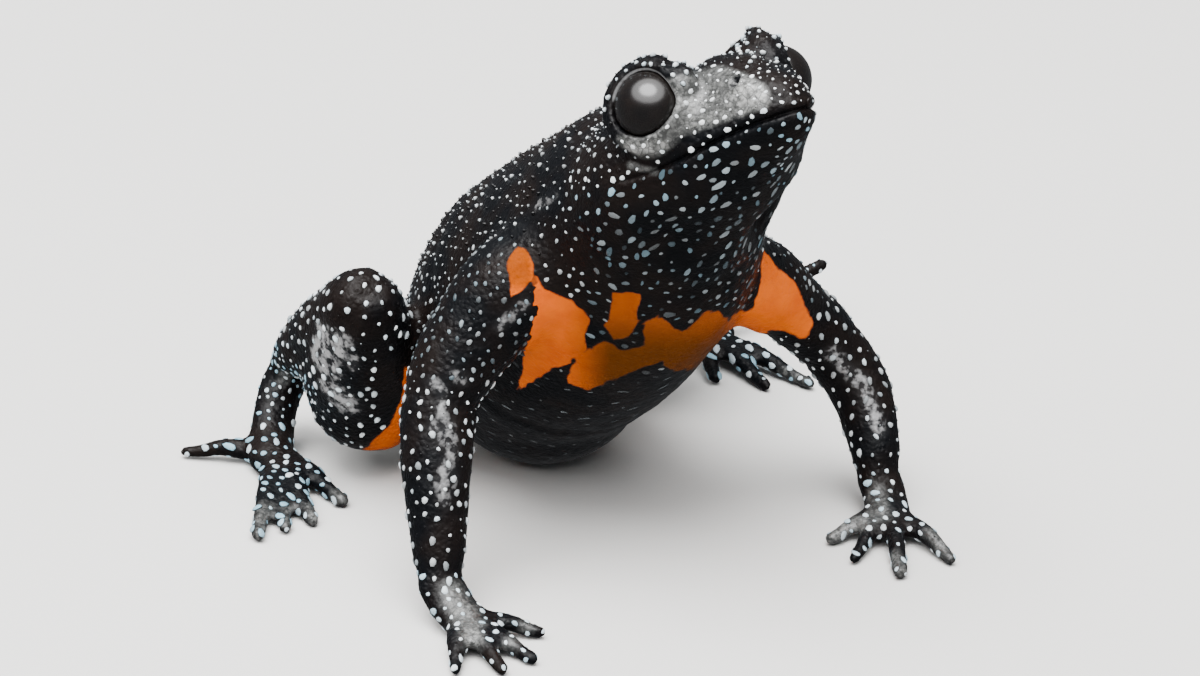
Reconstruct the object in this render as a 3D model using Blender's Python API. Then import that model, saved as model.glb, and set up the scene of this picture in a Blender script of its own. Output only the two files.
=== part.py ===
"""Galaxy frog, a small black forest frog, as a still life-size model.

The frog sits with its chest held high on straight arms, its rear belly on the ground and its
knees drawn up beside it. It faces -Y, its left side is +X, and Z points up.
Sizes below are in millimetres, and MM turns them into metres at the end.
"""
import math

import bmesh
import bpy
from mathutils import Matrix, Vector
from mathutils.bvhtree import BVHTree

MM = 0.001

# Gap between neighbouring pieces, and the grids on which flesh is fused
PART_GAP = 0.3
BODY_GRID = 0.26
SKIN_GRID = 0.17
BODY_SMOOTHING = 12
SKIN_SMOOTHING = 3

# Trunk, from vent to nape
VENT_FORWARD = -18.0
TRUNK_HALF_WIDTH = 5.5
RUMP_HALF_WIDTH = 4.2
CHEST_HALF_WIDTH = 4.7
BELLY_SAG = (4.6, 5.2, 4.7)

# Head, measured from the middle between the eyes
HEAD_ORIGIN_FORWARD = 2.7
HEAD_ORIGIN_UP = 20.4
HEAD_YAW = math.radians(6.0)
HEAD_PITCH = math.radians(30.0)
HEAD_HALF_WIDTH = 4.5
SNOUT_LENGTH = 4.8

# Eyes, with the orbit that bulges round each and the lid that rims it
EYE_RADIUS = 1.32
EYE_HALF_SPACING = 3.0
EYE_AXIS = (0.80, 0.52, 0.30)
ORBIT_RADIUS = 1.6
ORBIT_SET_BACK = 0.7
BROW_SIZE = (1.3, 1.8, 1.15)
LID_RING = 1.74
LID_THICKNESS = 0.22

# Nostrils
NOSTRIL_RADIUS = 0.2
NOSTRIL_RIM = 0.36
NOSTRIL_HALF_SPACING = 1.05
NOSTRIL_FORWARD = 3.6

# Mouth, which runs from corner to corner round the snout between two soft lips
MOUTH_GROOVE = 0.16
MOUTH_CORNER = math.radians(104.0)
MOUTH_LEVEL = -1.86
MOUTH_DROP = 0.48
MOUTH_STEPS = 30
LIP_SPACING = 0.3
LIP_THICKNESS = 0.24
LIP_SINK = 0.13

# Joints of each side, as left, forward, up, and radius of the flesh there
JOINTS = {
    "right": {
        "armpit": (-3.0, -2.2, 12.8, 2.1),
        "shoulder": (-5.2, -2.8, 11.6, 2.1),
        "upper_arm": (-7.0, -3.2, 9.8, 1.85),
        "elbow": (-8.6, -2.9, 7.6, 1.55),
        "forearm": (-9.4, -1.8, 5.2, 1.4),
        "pulse": (-9.9, -0.8, 3.0, 1.15),
        "wrist": (-10.3, 0.0, 1.5, 0.95),
        "palm": (-10.25, 0.9, 0.85, 0.95),
        "knuckles": (-10.1, 2.1, 0.5, 0.95),
        "groin": (-2.6, -14.9, 3.6, 2.4),
        "thigh": (-6.0, -13.4, 3.1, 2.5),
        "ham": (-7.2, -12.0, 5.0, 2.3),
        "knee": (-8.3, -9.5, 9.0, 1.55),
        "calf": (-8.0, -13.1, 6.4, 1.6),
        "shin": (-7.8, -16.0, 4.4, 1.25),
        "heel": (-7.6, -17.6, 3.0, 0.95),
        "tarsus": (-8.6, -16.9, 2.0, 0.9),
        "instep": (-9.4, -15.9, 0.95, 0.95),
        "sole": (-10.1, -14.6, 0.5, 0.95),
    },
    "left": {
        "armpit": (3.0, -1.6, 11.0, 1.9),
        "shoulder": (5.0, -2.0, 9.7, 1.8),
        "upper_arm": (6.9, -2.3, 8.0, 1.48),
        "elbow": (8.5, -2.3, 6.3, 1.36),
        "forearm": (9.4, -1.6, 4.6, 1.3),
        "pulse": (9.4, -0.5, 3.0, 1.15),
        "wrist": (9.1, 0.5, 1.4, 0.95),
        "palm": (8.95, 1.3, 0.85, 0.95),
        "knuckles": (8.4, 2.4, 0.5, 0.95),
        "groin": (3.6, -14.9, 3.6, 2.4),
        "thigh": (6.2, -13.9, 3.3, 2.3),
        "ham": (7.6, -12.4, 5.0, 2.0),
        "knee": (8.4, -11.3, 8.0, 1.5),
        "calf": (9.2, -14.6, 6.2, 1.55),
        "shin": (9.8, -17.0, 4.2, 1.2),
        "heel": (10.0, -18.4, 2.9, 0.95),
        "tarsus": (10.6, -18.1, 1.9, 0.9),
        "instep": (11.1, -17.6, 1.0, 0.95),
        "sole": (11.9, -16.2, 0.5, 0.95),
    },
}

# Roots and tips of fingers and toes, as left, forward and up
DIGIT_UP = 0.27
DIGIT_ARCH = 0.16
FINGER_RADIUS = 0.44
TOE_RADIUS = 0.46
TIP_RADIUS = 0.32
HAND_FLATNESS = 0.72
FOOT_FLATNESS = 0.8
FINGER_ROOTS = {"right": (-10.2, 1.3, 0.62), "left": (8.9, 1.7, 0.62)}
FINGER_TIPS = {
    "right": [(-7.8, 3.6, DIGIT_UP), (-9.2, 5.3, DIGIT_UP), (-10.6, 5.5, DIGIT_UP),
              (-12.2, 4.7, DIGIT_UP)],
    "left": [(5.7, 2.3, DIGIT_UP), (5.6, 4.2, DIGIT_UP), (6.5, 6.2, DIGIT_UP),
             (8.9, 6.2, DIGIT_UP)],
}
TOE_ROOTS = {"right": (-9.6, -15.2, 0.62), "left": (11.2, -17.0, 0.75)}
TOE_TIPS = {
    "right": [(-9.1, -10.2, DIGIT_UP), (-11.0, -9.2, DIGIT_UP), (-12.2, -9.2, DIGIT_UP),
              (-13.5, -9.1, DIGIT_UP), (-12.6, -17.6, DIGIT_UP)],
    "left": [(9.7, -12.8, DIGIT_UP), (11.2, -11.2, DIGIT_UP), (12.9, -10.4, DIGIT_UP),
             (17.5, -16.8, 2.4), (15.0, -20.2, DIGIT_UP)],
}

# Thin cuts that part the body: half sizes across and along each slab
NECK_CUT = (5.6, 6.6)
WAIST_CUT = (6.2, 8.0)
SHOULDER_CUT = (2.9, 3.2)
ELBOW_CUT = 2.4
WRIST_CUT = 1.7
ANKLE_CUT = 1.9
KNEE_CUT_WIDTH = 3.4
KNEE_CUT_OVERSHOOT = 2.6
HIPS = {
    "right": {"place": (-5.35, -13.0, 4.2), "turn": 14.0, "size": (5.0, 5.2), "knee_reach": 9.4},
    "left": {"place": (6.0, -13.6, 3.4), "turn": 18.0, "size": (4.4, 4.2), "knee_reach": 8.5},
}

# Triangles of each kind of node after thinning
TRIANGLES = {
    "head": 3100, "chest": 1400, "belly": 1800, "upper": 280, "forearm": 300,
    "hand": 760, "thigh": 520, "shank": 420, "foot": 980,
}
CUTTING_TRIANGLES = 55000
THINNING_STEP = 12
FLOOR_NODES = ("hand_right", "hand_left", "foot_right", "foot_left", "belly")

BLACK_SKIN = (0.012, 0.013, 0.016, 1.0)
SKIN_ROUGHNESS = 0.32
EYE_BLACK = (0.006, 0.004, 0.003, 1.0)
EYE_ROUGHNESS = 0.08

UP = Vector((0.0, 0.0, 1.0))
LEFT = Vector((1.0, 0.0, 0.0))
SIDE_SIGNS = {"right": -1.0, "left": 1.0}


def at(left, forward, up):
    """Point of the frog's own frame: left, forward and up in millimetres."""
    return Vector((left, -forward, up))


def joint(side, name):
    """Centre of a joint in the frog's frame."""
    left, forward, up, _ = JOINTS[side][name]
    return at(left, forward, up)


def stations(side, *names):
    """Rows of left, forward, up and radius for a limb that runs through the named joints."""
    return [JOINTS[side][name] for name in names]


def head_frame():
    """Frame of the head: X to the frog's left, Y towards the snout, Z through the crown."""
    forward = Vector((math.sin(HEAD_YAW) * math.cos(HEAD_PITCH),
                      -math.cos(HEAD_YAW) * math.cos(HEAD_PITCH),
                      math.sin(HEAD_PITCH)))
    left = Vector((math.cos(HEAD_YAW), math.sin(HEAD_YAW), 0.0))
    crown = forward.cross(left)
    frame = Matrix((left, forward, crown)).transposed().to_4x4()
    frame.translation = at(0.0, HEAD_ORIGIN_FORWARD, HEAD_ORIGIN_UP)
    return frame


HEAD = head_frame()


def in_head(left, forward, up):
    """Point of the head's frame as a point of the frog's frame."""
    return HEAD @ Vector((left, forward, up))


def along_head(left, forward, up):
    """Direction of the head's frame as a direction of the frog's frame."""
    return (HEAD.to_3x3() @ Vector((left, forward, up))).normalized()


def clear_scene():
    for item in list(bpy.data.objects):
        bpy.data.objects.remove(item, do_unlink=True)


def new_object(name, mesh_builder):
    mesh = bpy.data.meshes.new(name)
    mesh_builder.normal_update()
    mesh_builder.to_mesh(mesh)
    mesh_builder.free()
    item = bpy.data.objects.new(name, mesh)
    bpy.context.collection.objects.link(item)
    return item


def smooth_path(points, steps):
    """Catmull-Rom curve through rows of numbers, with a number of steps in each span."""
    rows = [Vector(row) for row in points]
    first = rows[0] * 2.0 - rows[1]
    last = rows[-1] * 2.0 - rows[-2]
    rows = [first] + rows + [last]
    curve = []
    for index in range(1, len(rows) - 2):
        p0, p1, p2, p3 = rows[index - 1:index + 3]
        for step in range(steps):
            t = step / steps
            curve.append(0.5 * (2.0 * p1 + (p2 - p0) * t
                                + (2.0 * p0 - 5.0 * p1 + 4.0 * p2 - p3) * t * t
                                + (3.0 * p1 - p0 - 3.0 * p2 + p3) * t * t * t))
    curve.append(rows[-2])
    return curve


def loft(name, centres, sizes, side, sides=28):
    """Closed body of oval rings. sizes are half widths along side and half heights across it."""
    builder = bmesh.new()
    rings = []
    for index, centre in enumerate(centres):
        before = centres[max(index - 1, 0)]
        after = centres[min(index + 1, len(centres) - 1)]
        along = (after - before).normalized()
        across = (side - along * side.dot(along)).normalized()
        rise = along.cross(across)
        half_width, half_height = sizes[index]
        place = Matrix((across * half_width, rise * half_height, along)).transposed().to_4x4()
        place.translation = centre
        ring = bmesh.ops.create_circle(builder, segments=sides, radius=1.0, matrix=place)
        rings.append(ring["verts"])
    for lower, upper in zip(rings, rings[1:]):
        for index in range(sides):
            follow = (index + 1) % sides
            builder.faces.new((lower[index], lower[follow], upper[follow], upper[index]))
    builder.faces.new(list(reversed(rings[0])))
    builder.faces.new(rings[-1])
    bmesh.ops.recalc_face_normals(builder, faces=builder.faces)
    return new_object(name, builder)


def limb(name, rows, flatness=1.0, steps=5, sides=18):
    """Limb with rounded ends through rows of left, forward, up and radius."""
    curve = smooth_path([(left, -forward, up, radius) for left, forward, up, radius in rows], steps)
    centres = [row.to_3d() for row in curve]
    radii = [row[3] for row in curve]
    start_radius = radii[0] * 0.6
    end_radius = radii[-1] * 0.6
    start = centres[0] - (centres[1] - centres[0]).normalized() * start_radius
    end = centres[-1] + (centres[-1] - centres[-2]).normalized() * end_radius
    centres = [start] + centres + [end]
    radii = [start_radius] + radii + [end_radius]
    return loft(name, centres, [(radius, radius * flatness) for radius in radii], LEFT, sides)


def ball(name, centre, radii, frame=None, segments=20):
    """Ellipsoid with its own half sizes, turned like the head where the frame is given."""
    builder = bmesh.new()
    place = Matrix.Translation(centre)
    if frame is not None:
        place = place @ frame.to_3x3().to_4x4()
    place = place @ Matrix.Diagonal((*radii, 1.0))
    bmesh.ops.create_uvsphere(builder, u_segments=segments, v_segments=segments * 3 // 5,
                              radius=1.0, matrix=place)
    return new_object(name, builder)


def trunk():
    """Rump, chest and nape as one barrel, with the belly that sags under it."""
    rows = [
        (0.8, VENT_FORWARD, 3.4, 1.6, 1.5),
        (0.8, VENT_FORWARD + 1.0, 3.7, 3.0, 2.7),
        (0.7, VENT_FORWARD + 3.0, 4.2, RUMP_HALF_WIDTH, 3.9),
        (0.4, VENT_FORWARD + 6.0, 5.3, TRUNK_HALF_WIDTH - 0.2, 5.1),
        (0.0, VENT_FORWARD + 9.0, 7.4, TRUNK_HALF_WIDTH + 0.2, 5.6),
        (-0.2, VENT_FORWARD + 12.0, 9.7, TRUNK_HALF_WIDTH, 5.5),
        (-0.3, VENT_FORWARD + 15.0, 12.2, CHEST_HALF_WIDTH + 0.3, 5.1),
        (-0.3, VENT_FORWARD + 17.0, 14.4, CHEST_HALF_WIDTH - 0.2, 4.5),
        (-0.2, VENT_FORWARD + 18.6, 16.2, CHEST_HALF_WIDTH - 1.2, 3.1),
    ]
    centres = smooth_path([at(left, forward, up) for left, forward, up, _, _ in rows], 4)
    sizes = smooth_path([(width, height) for _, _, _, width, height in rows], 4)
    barrel = loft("trunk", centres, [tuple(size) for size in sizes], LEFT, 40)
    belly = ball("belly", at(0.3, VENT_FORWARD + 6.8, BELLY_SAG[2] - 0.2), BELLY_SAG)
    return [barrel, belly]


def head_body():
    """Skull, snout and throat, widest at the corners of the mouth."""
    width = HEAD_HALF_WIDTH
    rows = [
        (-6.4, -3.6, width - 0.2, 3.9),
        (-4.4, -3.0, width - 0.1, 3.7),
        (-2.4, -2.4, width - 0.2, 3.3),
        (-0.4, -2.0, width - 1.05, 2.8),
        (1.4, -1.66, width - 1.95, 2.3),
        (3.0, -1.5, width - 2.75, 1.85),
        (4.1, -1.45, width - 3.3, 1.35),
        (SNOUT_LENGTH, -1.35, width - 3.85, 0.65),
    ]
    centres = smooth_path([in_head(0.0, forward, up) for forward, up, _, _ in rows], 4)
    sizes = smooth_path([(half, tall) for _, _, half, tall in rows], 4)
    return loft("head", centres, [tuple(size) for size in sizes], along_head(1.0, 0.0, 0.0), 40)


def limbs():
    """Arms down to the wrists, and thighs and shanks down to the heels."""
    pieces = []
    for side in SIDE_SIGNS:
        arm = stations(side, "armpit", "shoulder", "upper_arm", "elbow", "forearm", "pulse", "wrist")
        thigh = stations(side, "groin", "thigh", "ham", "knee")
        shank = stations(side, "knee", "calf", "shin", "heel")
        pieces += [limb("arm", arm), limb("thigh", thigh), limb("shank", shank)]
    return pieces


def digits(root, tips, radius):
    """Fingers or toes from one root, each arched over its middle joint."""
    pieces = []
    base = Vector(root)
    for tip in tips:
        span = Vector(tip) - base
        rows = [
            (*base, radius * 1.2),
            (*(base + span * 0.28), radius),
            (*(base + span * 0.55 + UP * DIGIT_ARCH), radius * 0.92),
            (*(base + span * 0.84), TIP_RADIUS * 1.05),
            (*tip, TIP_RADIUS),
        ]
        pieces.append(limb("digit", rows))
    return pieces


def hands_and_feet():
    pieces = []
    for side in SIDE_SIGNS:
        pieces.append(limb("palm", stations(side, "wrist", "palm", "knuckles"), HAND_FLATNESS))
        pieces += digits(FINGER_ROOTS[side], FINGER_TIPS[side], FINGER_RADIUS)
        pieces.append(limb("sole", stations(side, "heel", "tarsus", "instep", "sole"),
                           FOOT_FLATNESS))
        pieces += digits(TOE_ROOTS[side], TOE_TIPS[side], TOE_RADIUS)
    return pieces


def eye_axis(sign):
    """Direction in which an eye looks, outwards, forwards and a little up."""
    outward, forward, upward = EYE_AXIS
    return along_head(sign * outward, forward, upward)


def eye_centre(sign):
    return in_head(sign * EYE_HALF_SPACING, 0.0, 0.0)


def ring(name, centre, axis, major, minor, turns=40, sides=10):
    """Closed round ring about an axis."""
    frame = axis.to_track_quat("Z", "Y").to_matrix()
    builder = bmesh.new()
    loops = []
    for index in range(turns):
        angle = 2.0 * math.pi * index / turns
        out = frame @ Vector((math.cos(angle), math.sin(angle), 0.0))
        place = Matrix((out * minor, axis * minor, out.cross(axis))).transposed().to_4x4()
        place.translation = centre + out * major
        made = bmesh.ops.create_circle(builder, segments=sides, radius=1.0, matrix=place)
        loops.append(made["verts"])
    for index, loop in enumerate(loops):
        after = loops[(index + 1) % turns]
        for corner in range(sides):
            follow = (corner + 1) % sides
            builder.faces.new((loop[corner], loop[follow], after[follow], after[corner]))
    bmesh.ops.recalc_face_normals(builder, faces=builder.faces)
    return new_object(name, builder)


def orbits():
    """Bulge, brow and lid round each eye."""
    pieces = []
    for sign in SIDE_SIGNS.values():
        axis = eye_axis(sign)
        centre = eye_centre(sign)
        brow = in_head(sign * (EYE_HALF_SPACING - 0.75), -0.45, 0.5)
        pieces.append(ball("orbit", centre - axis * ORBIT_SET_BACK, (ORBIT_RADIUS,) * 3))
        pieces.append(ball("brow", brow, BROW_SIZE, HEAD))
        pieces.append(ring("lid", centre + axis * 0.05, axis, LID_RING, LID_THICKNESS))
    return pieces


def join(pieces, name):
    """One object of several closed pieces."""
    builder = bmesh.new()
    for piece in pieces:
        builder.from_mesh(piece.data)
        bpy.data.objects.remove(piece, do_unlink=True)
    return new_object(name, builder)


def apply_modifiers(item):
    graph = bpy.context.evaluated_depsgraph_get()
    graph.update()
    mesh = bpy.data.meshes.new_from_object(item.evaluated_get(graph), depsgraph=graph)
    item.modifiers.clear()
    item.data = mesh


def fuse(item, grid, rounds):
    """Fuse touching pieces on a fine grid, and ease the creases between them."""
    remesh = item.modifiers.new("fuse", "REMESH")
    remesh.mode = "VOXEL"
    remesh.voxel_size = grid
    ease = item.modifiers.new("ease", "SMOOTH")
    ease.factor = 0.5
    ease.iterations = rounds
    apply_modifiers(item)


def is_closed(mesh):
    """Whether each edge of a mesh has exactly two faces."""
    builder = bmesh.new()
    builder.from_mesh(mesh)
    closed = all(len(edge.link_faces) == 2 for edge in builder.edges)
    builder.free()
    return closed


def thin_out(item, triangles):
    """Thin a surface to about a number of triangles, a few more where fewer would fold it."""
    whole = item.data
    before = sum(len(face.vertices) - 2 for face in whole.polygons)
    while True:
        thin = item.modifiers.new("thin", "DECIMATE")
        thin.ratio = min(1.0, triangles / before)
        apply_modifiers(item)
        if is_closed(item.data) or triangles >= before:
            return
        item.data = whole
        triangles += THINNING_STEP


def slab(centre, normal, along, half_across, half_along):
    """Place of a thin box across the flesh, with its thin side along the normal."""
    normal = normal.normalized()
    along = (along - normal * along.dot(normal)).normalized()
    across = along.cross(normal)
    place = Matrix((across * half_across * 2.0, along * half_along * 2.0,
                    normal * PART_GAP)).transposed().to_4x4()
    place.translation = centre
    return place


def knee_slab(side):
    """Cut that halves the folded knee, from outside the bend to deep inside the fold."""
    knee = joint(side, "knee")
    before = (joint(side, "thigh") - knee).normalized()
    after = (joint(side, "shin") - knee).normalized()
    inward = (before + after).normalized()
    reach = HIPS[side]["knee_reach"]
    centre = knee + inward * (reach - KNEE_CUT_OVERSHOOT) * 0.5
    return slab(centre, before - after, inward, KNEE_CUT_WIDTH, (reach + KNEE_CUT_OVERSHOOT) * 0.5)


def cut_places():
    """Places of the thin cuts that part the body."""
    cuts = [
        slab(in_head(0.0, -4.7, -3.2), at(0.0, 0.75, 0.66), UP, *NECK_CUT),
        slab(at(0.0, VENT_FORWARD + 9.6, 7.8), at(0.0, 0.8, 0.6), UP, *WAIST_CUT),
    ]
    forward = at(0.0, 1.0, 0.0)
    for side, sign in SIDE_SIGNS.items():
        shoulder = joint(side, "shoulder").lerp(joint(side, "upper_arm"), 0.25)
        cuts.append(slab(shoulder, LEFT, UP, *SHOULDER_CUT))
        elbow = joint(side, "elbow")
        upper = (joint(side, "upper_arm") - elbow).normalized()
        lower = (joint(side, "forearm") - elbow).normalized()
        cuts.append(slab(elbow, upper - lower, forward, ELBOW_CUT, ELBOW_CUT))
        wrist = joint(side, "wrist")
        pulse = joint(side, "pulse")
        cuts.append(slab(wrist.lerp(pulse, 0.2), wrist - pulse, forward, WRIST_CUT, WRIST_CUT))
        turn = math.radians(HIPS[side]["turn"])
        outward = at(sign * math.cos(turn), -math.sin(turn), 0.0)
        cuts.append(slab(at(*HIPS[side]["place"]), outward, UP, *HIPS[side]["size"]))
        cuts.append(knee_slab(side))
        ankle = joint(side, "heel").lerp(joint(side, "tarsus"), 0.2)
        cuts.append(slab(ankle, at(sign * -0.55, -0.1, 1.0), forward, ANKLE_CUT, ANKLE_CUT))
    return cuts


def cut_away(item, cutter, name):
    """Take a closed cutter away from an object."""
    cutter.hide_render = True
    cutter.display_type = "WIRE"
    cut = item.modifiers.new(name, "BOOLEAN")
    cut.operation = "DIFFERENCE"
    cut.solver = "EXACT"
    cut.use_self = True
    cut.object = cutter
    apply_modifiers(item)
    bpy.data.objects.remove(cutter, do_unlink=True)


def part_body(body):
    """Cut the whole body with the slabs and return the loose pieces."""
    builder = bmesh.new()
    for place in cut_places():
        bmesh.ops.create_cube(builder, size=1.0, matrix=place)
    cut_away(body, new_object("cutter", builder), "part")
    return loose_pieces(body)


def loose_pieces(item):
    """Split an object into one object for each connected surface."""
    source = bmesh.new()
    source.from_mesh(item.data)
    seen = set()
    groups = []
    for start in source.verts:
        if start in seen:
            continue
        seen.add(start)
        stack = [start]
        members = set()
        while stack:
            vertex = stack.pop()
            members.add(vertex.index)
            for edge in vertex.link_edges:
                other = edge.other_vert(vertex)
                if other not in seen:
                    seen.add(other)
                    stack.append(other)
        groups.append(members)
    source.free()
    pieces = []
    for members in groups:
        builder = bmesh.new()
        builder.from_mesh(item.data)
        strangers = [vertex for vertex in builder.verts if vertex.index not in members]
        bmesh.ops.delete(builder, geom=strangers, context="VERTS")
        pieces.append(new_object("piece", builder))
    bpy.data.objects.remove(item, do_unlink=True)
    return pieces


def middle_of(item):
    total = Vector((0.0, 0.0, 0.0))
    for vertex in item.data.vertices:
        total += vertex.co
    return total / len(item.data.vertices)


def anchors():
    """A point near the middle of each node of flesh."""
    places = {
        "head": in_head(0.0, -1.5, -2.5),
        "chest": at(-0.3, VENT_FORWARD + 14.0, 11.0),
        "belly": at(0.3, VENT_FORWARD + 5.0, 5.0),
    }
    for side in SIDE_SIGNS:
        places[f"upper_arm_{side}"] = joint(side, "upper_arm")
        places[f"forearm_{side}"] = joint(side, "forearm").lerp(joint(side, "pulse"), 0.3)
        places[f"hand_{side}"] = joint(side, "knuckles")
        places[f"thigh_{side}"] = joint(side, "thigh").lerp(joint(side, "ham"), 0.6)
        places[f"shank_{side}"] = joint(side, "calf")
        places[f"foot_{side}"] = joint(side, "sole")
    return places


def name_pieces(pieces):
    """Name each piece after the nearest anchor, and drop scraps that the cuts leave."""
    nodes = {}
    for name, anchor in anchors().items():
        nearest = min(pieces, key=lambda piece: (middle_of(piece) - anchor).length)
        nearest.name = name
        nodes[name] = nearest
    for piece in pieces:
        if piece not in nodes.values():
            bpy.data.objects.remove(piece, do_unlink=True)
    return nodes


def keep_largest(item):
    """Keep only the largest connected surface of a node."""
    name = item.name
    pieces = loose_pieces(item)
    pieces.sort(key=lambda piece: len(piece.data.polygons))
    for piece in pieces[:-1]:
        bpy.data.objects.remove(piece, do_unlink=True)
    pieces[-1].name = name
    return pieces[-1]


def unite(item, pieces):
    """Grow closed pieces on a node in one union, their roots sunk in it."""
    growths = bpy.data.collections.new("growths")
    bpy.context.scene.collection.children.link(growths)
    for piece in pieces:
        bpy.context.collection.objects.unlink(piece)
        growths.objects.link(piece)
        piece.hide_render = True
        piece.display_type = "WIRE"
    bond = item.modifiers.new("grow", "BOOLEAN")
    bond.operation = "UNION"
    bond.solver = "EXACT"
    bond.operand_type = "COLLECTION"
    bond.collection = growths
    apply_modifiers(item)
    for piece in pieces:
        bpy.data.objects.remove(piece, do_unlink=True)
    bpy.data.collections.remove(growths)


def mouth_path(surface, rise, sink):
    """Points just under the skin from one corner of the mouth to the other, above its line."""
    points = []
    for index in range(MOUTH_STEPS + 1):
        turn = MOUTH_CORNER * (2.0 * index / MOUTH_STEPS - 1.0)
        level = MOUTH_LEVEL + rise - MOUTH_DROP * math.sin(turn) ** 2
        outward = along_head(math.sin(turn), math.cos(turn), 0.0)
        points.append(surface.ray_cast(in_head(0.0, -0.6, level), outward)[0] - outward * sink)
    return points


def mouth_rod(name, surface, rise, sink, thickness):
    """Thin bent rod along the lips that tapers towards both corners of the mouth."""
    points = mouth_path(surface, rise, sink)
    sizes = []
    for index in range(MOUTH_STEPS + 1):
        from_corner = min(index, MOUTH_STEPS - index) / MOUTH_STEPS
        radius = thickness * (0.4 + 0.6 * min(1.0, 5.0 * from_corner))
        sizes.append((radius, radius))
    return loft(name, points, sizes, along_head(0.0, 0.0, 1.0), 6)


def nostril_centre(surface, sign):
    start = in_head(0.0, NOSTRIL_FORWARD - 0.9, -1.2)
    toward = in_head(sign * NOSTRIL_HALF_SPACING, NOSTRIL_FORWARD, 0.0) - start
    return surface.ray_cast(start, toward.normalized())[0]


def finish_head(head):
    """Grow the lips and nostril rims, then cut the mouth's line, the nostrils and the sockets."""
    surface = BVHTree.FromObject(head, bpy.context.evaluated_depsgraph_get())
    growths = [mouth_rod("upper_lip", surface, LIP_SPACING, LIP_SINK, LIP_THICKNESS),
               mouth_rod("lower_lip", surface, -LIP_SPACING, LIP_SINK, LIP_THICKNESS)]
    hollows = [mouth_rod("mouth", surface, 0.0, 0.0, MOUTH_GROOVE)]
    inward = along_head(0.0, -1.0, -0.6)
    for sign in SIDE_SIGNS.values():
        nostril = nostril_centre(surface, sign)
        growths.append(ball("rim", nostril + inward * 0.22, (NOSTRIL_RIM,) * 3, None, 10))
        hollows.append(ball("nostril", nostril - inward * 0.08, (NOSTRIL_RADIUS,) * 3, None, 8))
        hollows.append(ball("socket", eye_centre(sign), (EYE_RADIUS + PART_GAP,) * 3))
    unite(head, growths)
    cut_away(head, join(hollows, "cutter"), "carve")
    return keep_largest(head)


def stand_on_floor(item):
    """Slice off what lies below the floor, so that the node rests on a flat."""
    builder = bmesh.new()
    builder.from_mesh(item.data)
    everything = list(builder.verts) + list(builder.edges) + list(builder.faces)
    cut = bmesh.ops.bisect_plane(builder, geom=everything, dist=1e-5, plane_co=(0.0, 0.0, 0.0),
                                 plane_no=UP, clear_inner=True)
    rim = [edge for edge in cut["geom_cut"] if isinstance(edge, bmesh.types.BMEdge)]
    bmesh.ops.edgeloop_fill(builder, edges=[edge for edge in rim if edge.is_boundary])
    bmesh.ops.triangulate(builder, faces=builder.faces)
    bmesh.ops.recalc_face_normals(builder, faces=builder.faces)
    builder.to_mesh(item.data)
    builder.free()


def eyes():
    """Eyeballs, each in its socket."""
    nodes = {}
    for side, sign in SIDE_SIGNS.items():
        name = f"eye_{side}"
        nodes[name] = ball(name, eye_centre(sign), (EYE_RADIUS,) * 3)
    return nodes


def plain_material(name, colour, roughness):
    material = bpy.data.materials.new(name)
    material.use_nodes = True
    shader = material.node_tree.nodes["Principled BSDF"]
    shader.inputs["Base Color"].default_value = colour
    shader.inputs["Roughness"].default_value = roughness
    shader.inputs["Metallic"].default_value = 0.0
    material.diffuse_color = colour
    return material


def finish(nodes):
    """Colour and shade the nodes, and set them in metres about the middle of the floor print."""
    corners = [vertex.co for node in nodes.values() for vertex in node.data.vertices]
    middle_x = (min(corner.x for corner in corners) + max(corner.x for corner in corners)) * 0.5
    middle_y = (min(corner.y for corner in corners) + max(corner.y for corner in corners)) * 0.5
    to_metres = Matrix.Scale(MM, 4) @ Matrix.Translation((-middle_x, -middle_y, 0.0))
    for name, node in nodes.items():
        is_eye = name.startswith("eye")
        colour = EYE_BLACK if is_eye else BLACK_SKIN
        roughness = EYE_ROUGHNESS if is_eye else SKIN_ROUGHNESS
        node.data.materials.clear()
        node.data.materials.append(plain_material(name, colour, roughness))
        node.data.transform(to_metres)
        node.data.shade_smooth()
        node.data.set_sharp_from_angle(angle=math.radians(50.0))


def main():
    clear_scene()
    flesh = join(trunk() + [head_body()] + limbs(), "flesh")
    fuse(flesh, BODY_GRID, BODY_SMOOTHING)
    body = join([flesh] + hands_and_feet() + orbits(), "body")
    fuse(body, SKIN_GRID, SKIN_SMOOTHING)
    thin_out(body, CUTTING_TRIANGLES)
    nodes = name_pieces(part_body(body))
    for name, node in nodes.items():
        thin_out(node, TRIANGLES[name.split("_")[0]])
    nodes["head"] = finish_head(nodes["head"])
    for name in FLOOR_NODES:
        stand_on_floor(nodes[name])
    nodes.update(eyes())
    finish(nodes)


main()
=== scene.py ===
"""Looks of a life-size galaxy frog: wet black skin with white tubercles and orange patches.

One skin covers all flesh of the frame. Tubercles and eyes are pieces of their own.
Sizes in the settings are real sizes. Inside the functions, points of the frog's own frame are
left, forward and up in millimetres from the floor under the middle of the frog.
"""
import itertools
import math

import bmesh
import bpy
import numpy as np
from bpy.props import FloatProperty, FloatVectorProperty, IntProperty, PointerProperty
from mathutils import Matrix, Vector, kdtree, noise
from mathutils.bvhtree import BVHTree


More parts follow.
